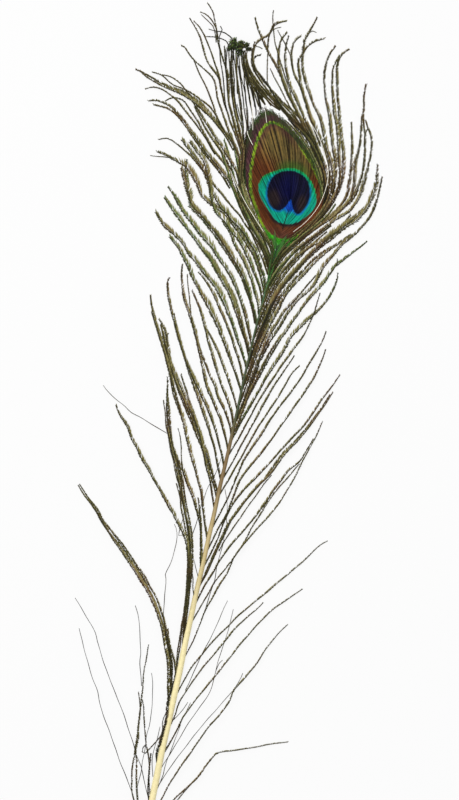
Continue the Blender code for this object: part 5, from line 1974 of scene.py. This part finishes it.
@dataclass
class BareBarbs(BarbPiece):
    """The few barbs at the eye that have lost their barbules and show pale.

    Attributes:
        routes: Plan x, y and height in turn, in mm.
        radius: Their radius, in mm.
    """

    routes: tuple[Route, ...] = (
        (8.1, 390.8, 1.8, 12.2, 395.7, 2.4, 15.5, 401.1, 3.0, 17.7, 406.5, 3.4, 18.8, 412.0, 3.7,
         19.2, 417.4, 3.8, 18.7, 422.8, 3.8, 17.1, 427.2, 3.7, 13.6, 434.2, 3.6, 9.2, 440.6, 3.4,
         3.4, 446.6, 3.0),
        (-29.2, 413.7, 2.4, -24.5, 407.1, 3.4, -19.3, 400.6, 3.7, -13.1, 394.1, 3.6, -6.5, 387.5, 2.4),
        (-32.5, 450.0, 1.6, -29.0, 442.0, 1.9, -26.5, 437.0, 2.0, -24.5, 433.0, 1.9, -21.2, 428.7, 1.5),
        (-27.4, 452.0, 1.7, -25.4, 446.0, 2.0, -23.8, 440.6, 2.0, -22.8, 436.0, 1.7),
        (-18.8, 446.6, 1.3, -16.8, 441.2, 1.5),
    )
    radius: float = 0.12

    def build(self) -> Piece:
        """Lay each barb along its route.

        Returns:
            The linked piece.
        """
        hair = Hair("bare_barbs")
        for route in self.routes:
            rows = np.array(route).reshape(-1, 3)
            flat = smooth_line(rows[:, :2], 1.5)
            share = np.linspace(0, 1, len(flat))
            height = np.interp(share, np.linspace(0, 1, len(rows)), rows[:, 2])
            radius = self.radius * (0.7 + 0.3 * share) * MM
            hair.tube(plan(flat, height), radius, radius, 0.0, np.zeros(len(flat)))
        return hair.piece()


@dataclass
class Studio:
    """The floor, the lights and the camera.

    Attributes:
        aim: Plan place under the camera, in mm.
        turn: How far the camera is turned about the vertical, in degrees.
        view_height: Length of surface that the picture's long side takes in, in mm.
        lens: Focal length, in mm.
        sensor: Long side of the sensor, in mm.
        floor_half: Half the floor's side, in metres.
        sky: Strength of the light from all round.
        lamp_size: Width of the soft lamp, in metres.
        lamp_power: Its power, in watts.
        lamp_place: Its place, in metres.
    """

    aim: Pair = (-4.7, 301.9)
    turn: float = 12.6
    view_height: float = 400.0
    lens: float = 85.0
    sensor: float = 36.0
    floor_half: float = 3.0
    sky: float = 1.0
    lamp_size: float = 1.2
    lamp_power: float = 19.0
    lamp_place: tuple[float, float, float] = (-0.7, 0.5, 1.3)

    def build(self) -> None:
        """Set up the whole studio."""
        self._camera()
        self._floor()
        self._lights()

    def _camera(self) -> None:
        """Hang the camera straight above the feather."""
        data = bpy.data.cameras.new("camera")
        data.lens = self.lens
        data.sensor_width = self.sensor
        camera = bpy.data.objects.new("camera", data)
        height = self.view_height * self.lens / self.sensor
        camera.location = Vector((self.aim[0] - PLAN_CENTRE[0], self.aim[1] - PLAN_CENTRE[1], height)) * MM
        camera.rotation_euler = (0.0, 0.0, math.radians(self.turn))
        bpy.context.scene.collection.objects.link(camera)
        bpy.context.scene.camera = camera

    def _floor(self) -> None:
        """Lay the plain pale floor."""
        bm = bmesh.new()
        bmesh.ops.create_grid(bm, x_segments=1, y_segments=1, size=self.floor_half)
        floor = released("floor", bm)
        floor.data.materials.append(FLOOR_FINISH.material())

    def _lights(self) -> None:
        """Light the scene evenly, with one large soft lamp from the upper left."""
        world = bpy.data.worlds.new("soft_white")
        world.use_nodes = True
        background = world.node_tree.nodes["Background"]
        background.inputs["Color"].default_value = (1.0, 1.0, 1.0, 1.0)
        background.inputs["Strength"].default_value = self.sky
        bpy.context.scene.world = world
        data = bpy.data.lights.new("soft_lamp", "AREA")
        data.shape = "DISK"
        data.size = self.lamp_size
        data.energy = self.lamp_power
        lamp = bpy.data.objects.new("soft_lamp", data)
        lamp.location = self.lamp_place
        lamp.rotation_euler = (-Vector(self.lamp_place)).to_track_quat("-Z", "Y").to_euler()
        bpy.context.scene.collection.objects.link(lamp)
        bpy.context.scene.view_settings.view_transform = "Standard"


Part = Union[Shaft, EyeVane, LooseBarbs, EyeFringe, Tuft, BareBarbs]


def add(part: Part, material: bpy.types.Material, *rng: Rng) -> None:
    """Build a part, dress it and report it.

    Args:
        part: The part.
        material: Its finish.
        rng: The source of its irregularities, if it has any.
    """
    piece = part.build(*rng)
    part.dress(piece, material)
    LOG.info("%s: %d faces", piece.name, len(piece.data.polygons))


def main() -> None:
    """Build every part in order."""
    logging.basicConfig(level=logging.INFO)
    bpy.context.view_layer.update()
    Studio().build()
    rng = np.random.default_rng(SEED)
    add(Shaft(), SHAFT_FINISH.material())
    vane = EyeVane()
    add(vane, EYE_FINISH.material(), rng)
    barb_material = BARB_FINISH.material()
    for name, members in REGIONS.items():
        add(LooseBarbs(name, members), barb_material, rng)
    add(EyeFringe(vane), FRINGE_FINISH.material(), rng)
    add(Tuft(), barb_material, rng)
    add(BareBarbs(), BARE_FINISH.material())


if __name__ == "__main__":
    main()
